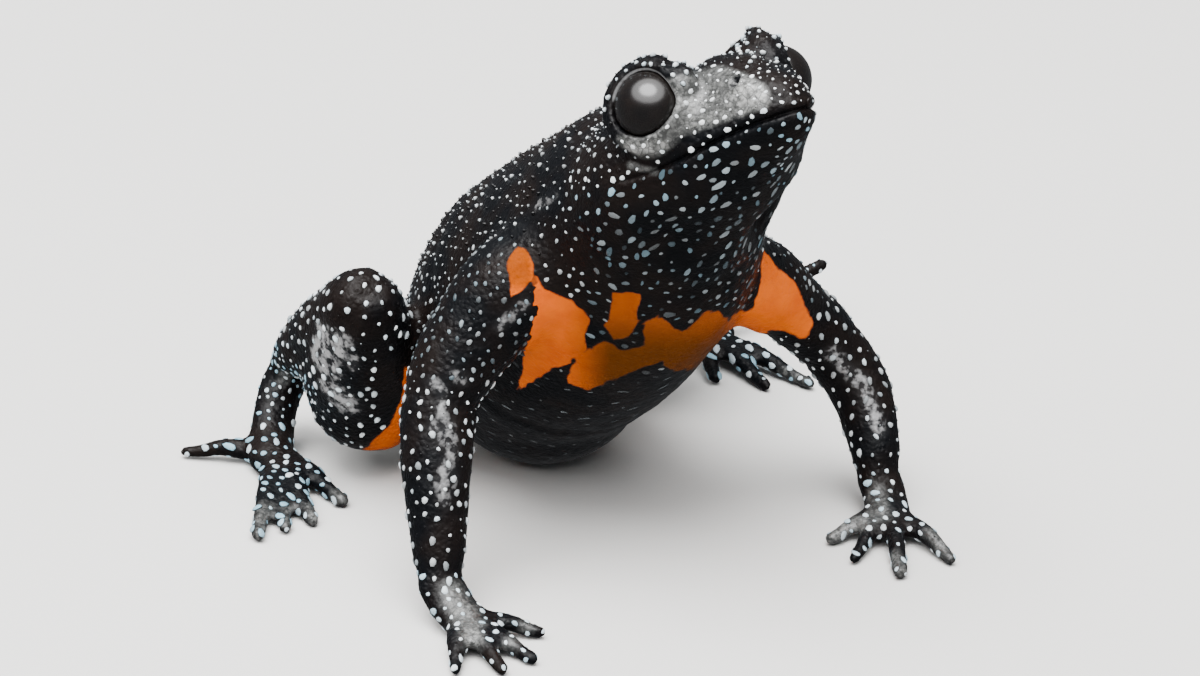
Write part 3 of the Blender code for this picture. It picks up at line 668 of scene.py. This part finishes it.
# Fine grains between them: spacing, smallest and largest radius, and share that is white
GRAINS = {
    "crown": (0.21, 0.022, 0.045, 0.50), "brow": (0.20, 0.022, 0.050, 0.60),
    "snout": (0.19, 0.016, 0.034, 0.65), "cheek": (0.24, 0.013, 0.030, 0.60),
    "lip": (0.28, 0.020, 0.040, 0.55), "throat": (0.55, 0.020, 0.040, 0.60),
    "neck": (0.32, 0.022, 0.045, 0.40), "back": (0.28, 0.026, 0.052, 0.15),
    "shoulder": (0.30, 0.024, 0.048, 0.35), "arm": (0.32, 0.024, 0.050, 0.40),
    "hand": (0.42, 0.025, 0.050, 0.50), "leg": (0.34, 0.025, 0.052, 0.35),
    "shank": (0.32, 0.025, 0.050, 0.50), "foot": (0.42, 0.030, 0.055, 0.50),
    "belly": (1.00, 0.020, 0.040, 0.40),
}
# Least and most brightness of the caps; those of the belly are kept dim as painted shade
BRIGHT = {"throat": (0.08, 0.66), "belly": (0.02, 0.14), "neck": (0.12, 0.66), "cheek": (0.5, 1.0),
          "shoulder": (0.06, 0.34), "arm": (0.25, 0.90), "leg": (0.35, 1.0), "back": (0.2, 0.85)}
UNEVEN_CROWDS = {"shank": 0.2, "foot": 0.2, "hand": 0.3, "leg": 0.35, "arm": 0.4}


def kinds_of_skin(labels, frog_rows, head_rows, normals, orange, bare):
    """Name of the kind of tubercles at each place, empty where the skin is plain."""
    nodes = np.array(FLESH)[labels]
    up = frog_rows[:, 2]
    _, ahead, above = head_rows.T
    facing_up = normals[:, 2]
    head, thigh = nodes == "head", nodes == "thigh_right"
    hand, foot, upper_arm, shank, limb = [
        np.char.startswith(nodes, name) for name in ("hand", "foot", "upper_arm", "shank", "forearm")]
    eye_gap = eye_distance(head_rows)
    over_mouth, reach = mouth_height(head_rows)
    plain = (orange > -0.12) | (up < 0.25) | (facing_up < -0.85)
    plain |= head & (eye_gap < EYE_RADIUS + 0.20)
    plain |= head & (np.abs(over_mouth) < 0.12) & (reach > 0.5)
    plain |= head & (nostril_distance(head_rows) < NOSTRIL_WIDTH)
    # Dark front of the thigh beside the groin
    plain |= thigh & (normals[:, 0] > -0.12) & (up < 7.2)
    rules = (
        (plain, ""),
        (head & (eye_gap < EYE_RADIUS + 0.9) & (above > 0.3), "brow"),
        (head & (over_mouth < 0.0), np.where(facing_up < 0.25, "throat", "neck")),
        (head & (over_mouth < 0.55), "lip"),
        (head & (bare > 0.3), "cheek"),
        (head & (ahead > 3.4), "snout"),
        (head, np.where(above > -0.6, "crown", "neck")),
        (hand, "hand"),
        (foot, np.where(up > 1.7, "shank", "foot")),
        (upper_arm, np.where(up > 8.8, "shoulder", "arm")),
        (limb, "arm"),
        (np.char.startswith(nodes, "thigh"), "leg"),
        (shank, np.where(up > 4.6, "leg", "shank")),
        (facing_up < -0.2, np.where((frog_rows[:, 1] < -5.0) | (up < 8.0), "belly", "throat")),
        (facing_up > 0.35, "back"),
    )
    return np.select([rule for rule, _ in rules], [kind for _, kind in rules], "neck")


def sample_skin(piece, count, generator):
    """Evenly random places on the skin, as triangle indices and weights of their corners."""
    mesh = piece.data
    mesh.calc_loop_triangles()
    corners = np.empty(len(mesh.loop_triangles) * 3, np.int32)
    mesh.loop_triangles.foreach_get("vertices", corners)
    corners = corners.reshape(-1, 3)
    rows = rows_of(mesh)
    one = rows[corners[:, 1]] - rows[corners[:, 0]]
    two = rows[corners[:, 2]] - rows[corners[:, 0]]
    area = np.linalg.norm(np.cross(one, two), axis=1)
    chosen = generator.choice(len(corners), size=count, p=area / area.sum())
    first = np.sqrt(generator.random(count))
    second = generator.random(count)
    weights = np.stack([1.0 - first, first * (1.0 - second), first * second], 1)
    return corners[chosen], weights


def blend_values(values, corners, weights):
    picked = values[corners]
    if picked.ndim == 3:
        return (picked * weights[:, :, None]).sum(1)
    return (picked * weights).sum(1)


class Crowd:
    """Places already taken, in a grid of cells."""

    CELL = 0.8

    def __init__(self):
        self.cells = {}

    def key(self, here):
        return tuple(int(value // self.CELL) for value in here)

    def is_free(self, here, reach):
        """Whether no place taken lies nearer than the reach and its own radius."""
        around = [(cell - 1, cell, cell + 1) for cell in self.key(here)]
        return not any(math.dist(here, place) < reach + radius
                       for cell in itertools.product(*around)
                       for place, radius in self.cells.get(cell, ()))

    def take(self, here, radius):
        self.cells.setdefault(self.key(here), []).append((here, radius))


def choose_places(piece, count, seed, crowd, fine):
    """Places for tubercles, none nearer to another than its kind of skin allows."""
    generator = np.random.default_rng(seed)
    mesh = piece.data
    corners, weights = sample_skin(piece, count, generator)
    rows = blend_values(rows_of(mesh), corners, weights)
    normals = blend_values(rows_of(mesh, "normal"), corners, weights)
    normals /= np.linalg.norm(normals, axis=1)[:, None]
    fields = {}
    for name in ("orange", "bare"):
        values = np.empty(len(mesh.vertices), np.float32)
        mesh.attributes[name].data.foreach_get("value", values)
        fields[name] = blend_values(values, corners, weights)
    labels = node_labels(rows)
    frog_rows = to_frog(rows)
    head_rows = to_head(rows)
    kinds = kinds_of_skin(labels, frog_rows, head_rows, normals, fields["orange"], fields["bare"])
    draws = generator.random((count, 6))
    places = []
    for index in np.flatnonzero(kinds != ""):
        kind = str(kinds[index])
        spacing, small, large, tall, stretch, white, blue, point = TUBERCLES[kind]
        if fine:
            spacing, small, large, white = GRAINS[kind]
            tall, stretch = max(tall, 0.5), 1.1
        draw = draws[index]
        radius = small + (large - small) * draw[1] ** 1.6
        if fields["bare"][index] > 0.5 and kind in ("hand", "foot") and draw[0] > 0.35:
            continue
        here = tuple(frog_rows[index])
        clouds = noise.noise(Vector(here) * 0.9) + 0.45 * noise.noise(Vector(here) * 3.1)
        crowding = 1.0 + UNEVEN_CROWDS.get(kind, 0.5) * clouds
        if not crowd.is_free(here, spacing * crowding - (0.0 if fine else radius * 0.5)):
            continue
        crowd.take(here, radius * 0.6 if fine else radius)
        least, most = BRIGHT.get(kind, (0.65, 1.0))
        bright = least + (most - least) * draw[5]
        if kind == "throat":
            bright *= 0.35 + 0.65 * float(ramp(head_rows[index][2], -4.6, -2.6))
        places.append({
            "label": labels[index], "place": Vector(rows[index]), "normal": Vector(normals[index]),
            "radius": radius, "height": radius * tall, "point": point,
            "stretch": 1.0 + (stretch - 1.0) * draw[2] * 2.0,
            "white": bright if draw[3] < white else 0.0,
            "blue": blue * (0.3 + 1.2 * draw[4]), "turn": draw[4] * 1.2 - 0.6,
        })
    return places


# Directions along which tubercles are stretched, on all nodes but the trunk
LIES = {"head": HEAD_AHEAD}
LIES.update(dict.fromkeys(("upper", "forearm", "shank", "thigh"), Vector((0.0, 0.0, 1.0))))
LIES.update(dict.fromkeys(("hand", "foot"), Vector((0.0, -1.0, 0.0))))


def lie_of(spot):
    """Direction along which a tubercle is stretched: down the limb, or round the throat."""
    along = LIES.get(FLESH[spot["label"]].split("_")[0], Vector((1.0, 0.0, 0.0)))
    normal = spot["normal"]
    along = along - normal * along.dot(normal)
    if along.length < 1e-4:
        along = normal.orthogonal()
    along.normalize()
    return (Matrix.Rotation(spot["turn"], 3, normal) @ along).normalized()


def tile_place(spot):
    """Root of a tubercle on an unwrap of the skin with one tile for each node of flesh."""
    name = FLESH[spot["label"]]
    low, high = BOXES[name]
    local = spot["place"] - node_middle(name)
    around = math.atan2(local.y, local.x) / (2.0 * math.pi) + 0.5
    along = (spot["place"].z - low.z) / (high.z - low.z)
    row, column = divmod(spot["label"], TILES)
    inner = 1.0 - 2.0 * TILE_MARGIN
    return ((column + TILE_MARGIN + inner * around) / TILES,
            (row + TILE_MARGIN + inner * min(max(along, 0.0), 1.0)) / TILES)


def dome_shape(segments, rings):
    """Corner places and faces of one round tubercle of radius one."""
    builder = bmesh.new()
    bmesh.ops.create_uvsphere(builder, u_segments=segments, v_segments=rings, radius=1.0)
    builder.verts.index_update()
    shape = np.array([vertex.co for vertex in builder.verts])
    faces = [[vertex.index for vertex in face.verts] for face in builder.faces]
    builder.free()
    return shape, faces


def build_tubercles(name, places, seed, segments, rings):
    """One joined mesh of low domes of uneven outline, each sunk in the skin."""
    generator = np.random.default_rng(seed)
    shape, faces = dome_shape(segments, rings)
    count, corners = len(places), len(shape)
    normal, root, radius, rise, stretch, point, white, blue = [
        np.array([spot[key] for spot in places]) for key in
        ("normal", "place", "radius", "height", "stretch", "point", "white", "blue")]
    radius, rise = radius * MM, rise * MM
    along = np.array([lie_of(spot) for spot in places])
    across = np.cross(normal, along)
    angle = np.arctan2(shape[:, 1], shape[:, 0])[None, :]
    phase = generator.random((2, count, 1)) * 2.0 * math.pi
    uneven = 1.0 + 0.13 * np.cos(2.0 * angle + phase[0]) + 0.09 * np.cos(3.0 * angle + phase[1])
    above = np.maximum(shape[:, 2], 0.0)
    uneven = uneven * (1.0 - point[:, None] * above[None, :])
    rows = (root[:, None, :]
            + (shape[None, :, 0] * uneven * (radius * stretch)[:, None])[:, :, None] * along[:, None, :]
            + (shape[None, :, 1] * uneven * radius[:, None])[:, :, None] * across[:, None, :]
            + (shape[None, :, 2] * rise[:, None])[:, :, None] * normal[:, None, :])
    starts = np.arange(count)[:, None] * corners
    sizes = np.array([len(face) for face in faces])
    order = np.concatenate([np.array(face) for face in faces])
    loops = (starts + order[None, :]).ravel()
    totals = np.tile(sizes, count)
    mesh = bpy.data.meshes.new(name)
    mesh.vertices.add(count * corners)
    mesh.vertices.foreach_set("co", rows.ravel())
    mesh.loops.add(len(loops))
    mesh.loops.foreach_set("vertex_index", loops.astype(np.int32))
    mesh.polygons.add(len(totals))
    mesh.polygons.foreach_set("loop_start", (np.cumsum(totals) - totals).astype(np.int32))
    mesh.update(calc_edges=True)
    start = np.where(point > 0.2, 0.12, -0.10)[:, None]
    cap = np.clip((shape[None, :, 2] - start) / 0.55, 0.0, 1.0)
    for key, values in (("cap", (cap * (white[:, None] > 0.0)).ravel()),
                        ("bright", np.repeat(white, corners)), ("blue", np.repeat(blue, corners))):
        put_attribute(mesh, key, values)
    chart = mesh.uv_layers.new(name="OFBake")
    tile = np.array([tile_place(spot) for spot in places])
    spread = tile[:, None, :] + shape[None, :, :2] * DOME_CHART
    chart.uv.foreach_set("vector", spread.reshape(-1, 2)[loops].ravel().astype(np.float32))
    piece = bpy.data.objects.new(name, mesh)
    bpy.context.scene.collection.objects.link(piece)
    mesh.shade_smooth()
    return piece


# Materials

class Nodes:
    """Short calls for a material's node tree."""

    def __init__(self, name):
        self.material = bpy.data.materials.new(name)
        self.material.use_nodes = True
        self.tree = self.material.node_tree
        self.shader = self.tree.nodes["Principled BSDF"]

    def add(self, kind, inputs=None, **settings):
        """New node of a kind, with its inputs and other settings."""
        node = self.tree.nodes.new(kind)
        for key, value in settings.items():
            setattr(node, key, value)
        for key, value in (inputs or {}).items():
            self.feed(node.inputs[key], value)
        return node

    def feed(self, socket, value):
        if isinstance(value, bpy.types.NodeSocket):
            self.tree.links.new(value, socket)
        else:
            socket.default_value = value

    def put(self, **sockets):
        """Values or links for sockets of the shader, with _ for spaces in their names."""
        for key, value in sockets.items():
            self.feed(self.shader.inputs[key.replace("_", " ")], value)

    def attribute(self, name):
        return self.add("ShaderNodeAttribute", attribute_name=name).outputs["Fac"]

    def object_place(self):
        return self.add("ShaderNodeTexCoord").outputs["Object"]

    def noise(self, scale, detail, roughness=0.5):
        return self.add("ShaderNodeTexNoise", {"Vector": self.object_place(), "Scale": scale,
                                               "Detail": detail, "Roughness": roughness}).outputs["Fac"]

    def cells(self, scale, feature="F1"):
        return self.add("ShaderNodeTexVoronoi", {"Vector": self.object_place(), "Scale": scale},
                        feature=feature).outputs["Distance"]

    def math(self, operation, one, two):
        return self.add("ShaderNodeMath", {0: one, 1: two}, operation=operation).outputs[0]

    def spread(self, value, low, high, start=0.0, end=1.0):
        return self.add("ShaderNodeMapRange", {"Value": value, "From Min": low, "From Max": high,
                                               "To Min": start, "To Max": end}).outputs[0]

    def clouds(self, scale, detail, low, high, start=0.0, end=1.0, roughness=0.5):
        """Noise spread from start to end."""
        return self.spread(self.noise(scale, detail, roughness), low, high, start, end)

    def times(self, one, two):
        return self.math("MULTIPLY", one, two)

    def mix(self, amount, one, two):
        return self.add("ShaderNodeMix", {0: amount, 6: one, 7: two}, data_type="RGBA").outputs[2]

    def bump(self, height, distance, strength=1.0, below=None):
        node = self.add("ShaderNodeBump", {"Height": height, "Distance": distance,
                                           "Strength": strength})
        if below is not None:
            self.feed(node.inputs["Normal"], below)
        return node.outputs["Normal"]


def opaque(colour, share=1.0):
    """Colour setting with its alpha, darker where the share is below one."""
    return (*(value * share for value in colour), 1.0)


def skin_black(nodes):
    """Blue-black and brown-black skin in soft clouds."""
    return nodes.mix(nodes.clouds(420.0, 2.0, 0.42, 0.62), DEEP_BLACK, BROWN_BLACK)


def skin_material(settings):
    nodes = Nodes("wet_black_skin")
    edge = nodes.clouds(1100.0, 3.0, 0.3, 0.7, -0.09, 0.09)
    orange = nodes.spread(nodes.math("ADD", nodes.attribute("orange"), edge), -0.03, 0.04)
    bare = nodes.times(nodes.attribute("bare"), nodes.clouds(2600.0, 4.0, 0.3, 0.65, 0.6, 1.2))
    bare = nodes.spread(bare, 0.12, 0.75)
    # Painted gleams of the light on wet skin, broken into glinting streaks
    smear = nodes.attribute("smear")
    patches = nodes.clouds(2700.0, 3.0, 0.38, 0.64, 0.1, 1.0, roughness=0.55)
    streaks = nodes.spread(nodes.times(smear, patches), 0.18, 0.68)
    flame = nodes.clouds(700.0, 3.0, 0.35, 0.65)
    flame = nodes.mix(flame, opaque(settings.orange), opaque(settings.deep_orange))
    # Painted shade darkens the orange below and across the middle of the chest
    flame = nodes.mix(nodes.attribute("under"), flame, SHADED_ORANGE)
    # Painted reflection of the soft light on bare wet skin: mid and dim grey clouds, brighter spots and
    # dark cracks
    reflection_clouds = nodes.clouds(4400.0, 5.0, 0.43, 0.58, roughness=0.7)
    painted_reflection = nodes.mix(reflection_clouds, DIM_REFLECTION_GREY, PAINTED_REFLECTION_GREY)
    painted_reflection = nodes.mix(nodes.clouds(1500.0, 3.0, 0.40, 0.60, 0.62, 0.0), painted_reflection, DIM_REFLECTION_GREY)
    pale = nodes.clouds(3600.0, 5.0, 0.40, 0.60, 0.15, 1.0, roughness=0.65)
    painted_reflection = nodes.mix(nodes.times(nodes.attribute("pale"), pale), painted_reflection, BRIGHT_REFLECTION_GREY)
    reflection_cracks = nodes.spread(nodes.cells(3300.0, "DISTANCE_TO_EDGE"), 0.0, 0.09, 0.8, 0.0)
    painted_reflection = nodes.mix(reflection_cracks, painted_reflection, DIM_REFLECTION_GREY)
    # Bare skin takes the painted reflection in place of its black
    colour = nodes.mix(bare, skin_black(nodes), painted_reflection)
    # Painted sheen and painted glints over the black skin
    colour = nodes.mix(nodes.times(smear, 0.35), colour, SHEEN_GREY)
    colour = nodes.mix(streaks, colour, GLINT_AND_RIM_GREY)
    colour = nodes.mix(nodes.spread(nodes.attribute("rim"), 0.3, 1.0), colour, GLINT_AND_RIM_GREY)
    # Painted shade in the nostrils
    colour = nodes.mix(nodes.spread(nodes.attribute("pit"), 0.3, 0.7), colour, DEEP_BLACK)
    colour = nodes.mix(orange, colour, flame)
    wet = nodes.math("MAXIMUM", bare, streaks)
    rough = nodes.clouds(3200.0, 2.0, 0.3, 0.7, 0.36, 0.50)
    rough = nodes.math("SUBTRACT", rough, nodes.times(wet, 0.12))
    gloss = nodes.math("ADD", 0.16, nodes.times(wet, 0.30))
    gloss = nodes.times(gloss, nodes.spread(orange, 0.0, 1.0, 1.0, 0.15))
    grain = nodes.spread(nodes.cells(4300.0), 0.0, 0.6, 1.0, 0.0)
    grainy = nodes.spread(nodes.attribute("rough"), 0.0, 1.0, 0.35, 1.0)
    normal = nodes.bump(nodes.noise(2300.0, 5.0, 0.6), 0.00008, 0.9)
    normal = nodes.bump(grain, 0.00003, grainy, normal)
    nodes.put(Base_Color=colour, Roughness=rough, Specular_IOR_Level=gloss, Normal=normal,
              Coat_Weight=nodes.times(wet, 0.3), Coat_Roughness=0.2)
    return nodes.material


def tubercle_material(settings):
    nodes = Nodes("tubercle")
    white = nodes.mix(nodes.attribute("blue"), opaque(settings.white), opaque(settings.blue_white))
    white = nodes.mix(nodes.attribute("bright"), DEEP_BLACK, white)
    edge = nodes.clouds(6000.0, 2.0, 0.3, 0.7, -0.12, 0.12)
    amount = nodes.spread(nodes.math("ADD", nodes.attribute("cap"), edge), 0.12, 0.85)
    colour = nodes.mix(amount, skin_black(nodes), white)
    rough = nodes.clouds(5200.0, 2.0, 0.3, 0.7, 0.26, 0.40)
    nodes.put(Base_Color=colour, Roughness=rough, Specular_IOR_Level=0.3)
    return nodes.material


def eye_material():
    nodes = Nodes("dark_eye")
    colour = nodes.mix(nodes.clouds(900.0, 3.0, 0.35, 0.7), EYE_BLACK, EYE_BROWN)
    nodes.put(Base_Color=colour, Roughness=0.22, Specular_IOR_Level=0.85)
    return nodes.material


def floor_material(settings):
    nodes = Nodes("pale_floor")
    tone = nodes.mix(nodes.noise(40.0, 2.0), opaque(settings.floor), opaque(settings.floor, 0.97))
    nodes.put(Base_Color=tone, Roughness=0.85)
    return nodes.material


# Settings

def colour_setting(name, default, description):
    return FloatVectorProperty(name=name, default=default, subtype="COLOR", min=0.0, max=1.0,
                               description=description)


def power_setting(name, default, description):
    return FloatProperty(name=name, default=default, subtype="POWER", description=description)


class FrogSkinSettings(bpy.types.PropertyGroup):
    swell: FloatProperty(name="Swell", default=0.26 * MM, unit="LENGTH", precision=5,
                         description="How far the flesh is swollen to close the thin cuts")
    grid: FloatProperty(name="Grid", default=0.16 * MM, unit="LENGTH", precision=5,
                        description="Grid on which the skin is fused")
    smoothing: IntProperty(name="Smoothing", default=9, min=0,
                           description="Rounds of smoothing after the skin is fused")
    kept: FloatProperty(name="Kept", default=0.41, min=0.1, max=1.0,
                        description="Share of the fused skin's triangles that is kept")
    orange: colour_setting("Orange", (0.66, 0.112, 0.0002), "Colour of the orange patches")
    deep_orange: colour_setting("Deep orange", (0.54, 0.080, 0.0002),
                                "Darker clouds of the orange patches")


class FrogSpotSettings(bpy.types.PropertyGroup):
    tries: IntProperty(name="Tries", default=50000, min=1000,
                       description="Random places tried for tubercles")
    fine_tries: IntProperty(name="Fine tries", default=90000, min=1000,
                            description="Random places tried for the grains between them")
    seed: IntProperty(name="Seed", default=11, description="Seed of the random places")
    white: colour_setting("White", (0.90, 0.93, 0.94), "Colour of the tubercles' caps")
    blue_white: colour_setting("Blue white", (0.29, 0.50, 0.62), "Colour of the bluest caps")


class FrogStageSettings(bpy.types.PropertyGroup):
    floor: colour_setting("Floor", (0.78, 0.77, 0.75), "Colour of the floor")
    lens: FloatProperty(name="Lens", default=156.0, description="Focal length in millimetres")
    key_power: power_setting("Key light", 4.9, "Power of the large soft light")
    core_power: power_setting("Core light", 2.3, "Power of the large light's bright middle")
    fill_power: power_setting("Fill light", 0.25, "Power of the weak light on the other side")


# Operators

def fused_skin(settings):
    """Swollen flesh fused on a grid, shrunk back to its size, smoothed and thinned."""
    skin, tree, amounts = swollen_flesh(settings.swell)
    remesh = skin.modifiers.new("fuse", "REMESH")
    remesh.mode = "VOXEL"
    remesh.voxel_size = settings.grid
    apply_modifiers(skin)
    rows = rows_of(skin.data)
    near = eye_distance(to_head(rows))
    swelling = np.array([np.mean([amounts[hit[1]] for hit in tree.find_n(row, 3)])
                         for row in rows])
    shrink = swelling * ramp(near, EYE_RADIUS + 0.25, EYE_RADIUS + 0.8)
    rows -= rows_of(skin.data, "normal") * shrink[:, None]
    skin.data.vertices.foreach_set("co", rows.ravel())
    ease = skin.modifiers.new("ease", "SMOOTH")
    ease.factor = 0.5
    ease.iterations = settings.smoothing
    thin = skin.modifiers.new("thin", "DECIMATE")
    thin.ratio = settings.kept
    apply_modifiers(skin)
    return skin


def put_fields(mesh):
    """Attributes that tell the shader where each kind of skin lies."""
    rows = rows_of(mesh)
    normals = rows_of(mesh, "normal")
    labels = node_labels(rows)
    fields = {
        "orange": orange_depth(rows, normals, labels), "bare": bare_amount(rows),
        "smear": capsules(rows, PAINTED_GLEAMS), "pale": capsules(rows, BRIGHT_REFLECTIONS), "rim": rim_amount(rows),
        "under": shade_amount(rows, normals), "rough": rough_amount(normals, labels),
        # Painted shade inside the nostrils
        "pit": bell(nostril_distance(to_head(rows)), NOSTRIL_WIDTH),
    }
    for name, values in fields.items():
        put_attribute(mesh, name, values)


class FROG_OT_skin(bpy.types.Operator):
    """Grow one skin over all flesh of the frog"""

    bl_idname = "frog.skin"
    bl_label = "Skin"

    def execute(self, context):
        settings = context.scene.frog_skin
        skin = fused_skin(settings)
        for chosen in (front_of_head, fine_zone, nostril_zone):
            refine(skin, chosen(to_head(rows_of(skin.data))))
        sculpt(skin)
        put_fields(skin.data)
        skin.data.materials.clear()
        skin.data.materials.append(skin_material(settings))
        skin.data.shade_smooth()
        skin.name = "skin"
        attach(skin, "root")
        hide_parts(*FLESH)
        return {"FINISHED"}


class FROG_OT_tubercles(bpy.types.Operator):
    """Set white tubercles all over the skin"""

    bl_idname = "frog.tubercles"
    bl_label = "Tubercles"

    def execute(self, context):
        settings = context.scene.frog_spots
        material = tubercle_material(settings)
        skin = bpy.data.objects["skin"]
        crowd = Crowd()
        large = choose_places(skin, settings.tries, settings.seed, crowd, False)
        grains = choose_places(skin, settings.fine_tries, settings.seed + 1, crowd, True)
        groups = {}
        for size, places in (("tubercles", large), ("grains", grains)):
            for spot in places:
                node = FLESH[spot["label"]]
                part = node if node in ("head", "chest", "belly") else node.split("_")[-1]
                part = {"chest": "trunk", "belly": "trunk"}.get(part, part)
                groups.setdefault((size, part), []).append(spot)
        for (size, part), chosen in groups.items():
            piece = build_tubercles(f"{size}_{part}", chosen, settings.seed, *DOME_SIDES[size])
            piece.data.materials.append(material)
            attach(piece, "root")
        return {"FINISHED"}


class FROG_OT_eyes(bpy.types.Operator):
    """Turn glossy eyeballs in their sockets"""

    bl_idname = "frog.eyes"
    bl_label = "Eyes"

    def execute(self, context):
        material = eye_material()
        for name in EYES:
            builder = bmesh.new()
            sign = -1.0 if name == EYES[0] else 1.0
            place = Matrix.Translation(in_head(*EYE_SPOTS[sign]))
            bmesh.ops.create_uvsphere(builder, u_segments=EYE_SEGMENTS, v_segments=EYE_RINGS,
                                      radius=EYE_RADIUS * MM, matrix=place)
            piece = new_piece(name + "_ball", builder)
            piece.data.materials.append(material)
            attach(piece, "root")
            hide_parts(name)
        return {"FINISHED"}


# Name, direction, distance and size in metres, and whether wet skin and eyes mirror the light
KEY_WAY = VIEW_BACK * 0.60 - VIEW_RIGHT * 0.12 + VIEW_UP * 0.79
SIDE_WAY = -VIEW_BACK * 0.5 - VIEW_RIGHT * 0.7 + VIEW_UP * 0.6
LIGHTS = (
    ("key", KEY_WAY, 0.36, (0.76, 0.66), True),
    ("core", KEY_WAY, 0.35, (0.30, 0.26), True),
    ("fill", SIDE_WAY, 0.25, (0.14, 0.14), False),
)


def area_light(name, place, aim, size, power, seen):
    """Soft light, which wet skin and eyes mirror only where it is seen."""
    light = bpy.data.lights.new(name, "AREA")
    light.shape = "ELLIPSE"
    light.size, light.size_y = size
    light.energy = power
    lamp = bpy.data.objects.new(name, light)
    lamp.location = place
    lamp.rotation_euler = (aim - place).to_track_quat("-Z", "Y").to_euler()
    lamp.visible_glossy = seen
    bpy.context.scene.collection.objects.link(lamp)


class FROG_OT_stage(bpy.types.Operator):
    """Set up floor, soft lights and camera"""

    bl_idname = "frog.stage"
    bl_label = "Stage"

    def execute(self, context):
        settings = context.scene.frog_stage
        builder = bmesh.new()
        bmesh.ops.create_grid(builder, x_segments=1, y_segments=1, size=FLOOR_HALF)
        floor = new_piece("floor", builder)
        floor.data.materials.append(floor_material(settings))
        floor.visible_glossy = False
        world = bpy.data.worlds.new("studio")
        world.use_nodes = True
        context.scene.world = world
        backdrop = world.node_tree.nodes["Background"]
        backdrop.inputs["Color"].default_value = BACKDROP_COLOUR
        backdrop.inputs["Strength"].default_value = BACKDROP_STRENGTH
        middle = at(*LIGHTS_AIM)
        for name, way, distance, size, seen in LIGHTS:
            power = getattr(settings, name + "_power")
            area_light(name, middle + way * distance, middle, size, power, seen)
        camera = bpy.data.cameras.new("camera")
        camera.sensor_width = SENSOR_WIDTH
        camera.lens = settings.lens
        camera.clip_start, camera.clip_end = CLIPPING
        eye = bpy.data.objects.new("camera", camera)
        target = ORIGIN + Vector(VIEW_TARGET) * MM
        eye.location = target + VIEW_BACK * VIEW_DISTANCE * MM
        eye.rotation_euler = VIEW_BACK.to_track_quat("Z", "Y").to_euler()
        context.scene.collection.objects.link(eye)
        context.scene.camera = eye
        return {"FINISHED"}


class FROG_PT_panel(bpy.types.Panel):
    """Steps that dress the frog"""

    bl_label = "Galaxy frog"
    bl_idname = "FROG_PT_panel"
    bl_space_type = "VIEW_3D"
    bl_region_type = "UI"
    bl_category = "Frog"

    def draw(self, context):
        for key in GROUPS:
            group = getattr(context.scene, key)
            for name in group.bl_rna.properties.keys():
                if name not in ("rna_type", "name"):
                    self.layout.prop(group, name)
        for step in STEPS:
            self.layout.operator(step.bl_idname)


GROUPS = {"frog_skin": FrogSkinSettings, "frog_spots": FrogSpotSettings,
          "frog_stage": FrogStageSettings}
STEPS = (FROG_OT_skin, FROG_OT_tubercles, FROG_OT_eyes, FROG_OT_stage)


def register():
    for name, group in GROUPS.items():
        bpy.utils.register_class(group)
        setattr(bpy.types.Scene, name, PointerProperty(type=group))
    for step in (*STEPS, FROG_PT_panel):
        bpy.utils.register_class(step)


def unregister():
    for step in (FROG_PT_panel, *reversed(STEPS)):
        bpy.utils.unregister_class(step)
    for name, group in GROUPS.items():
        delattr(bpy.types.Scene, name)
        bpy.utils.unregister_class(group)


def main():
    register()
    bpy.ops.frog.skin()
    bpy.ops.frog.tubercles()
    bpy.ops.frog.eyes()
    bpy.ops.frog.stage()


if __name__ == "__main__":
    main()
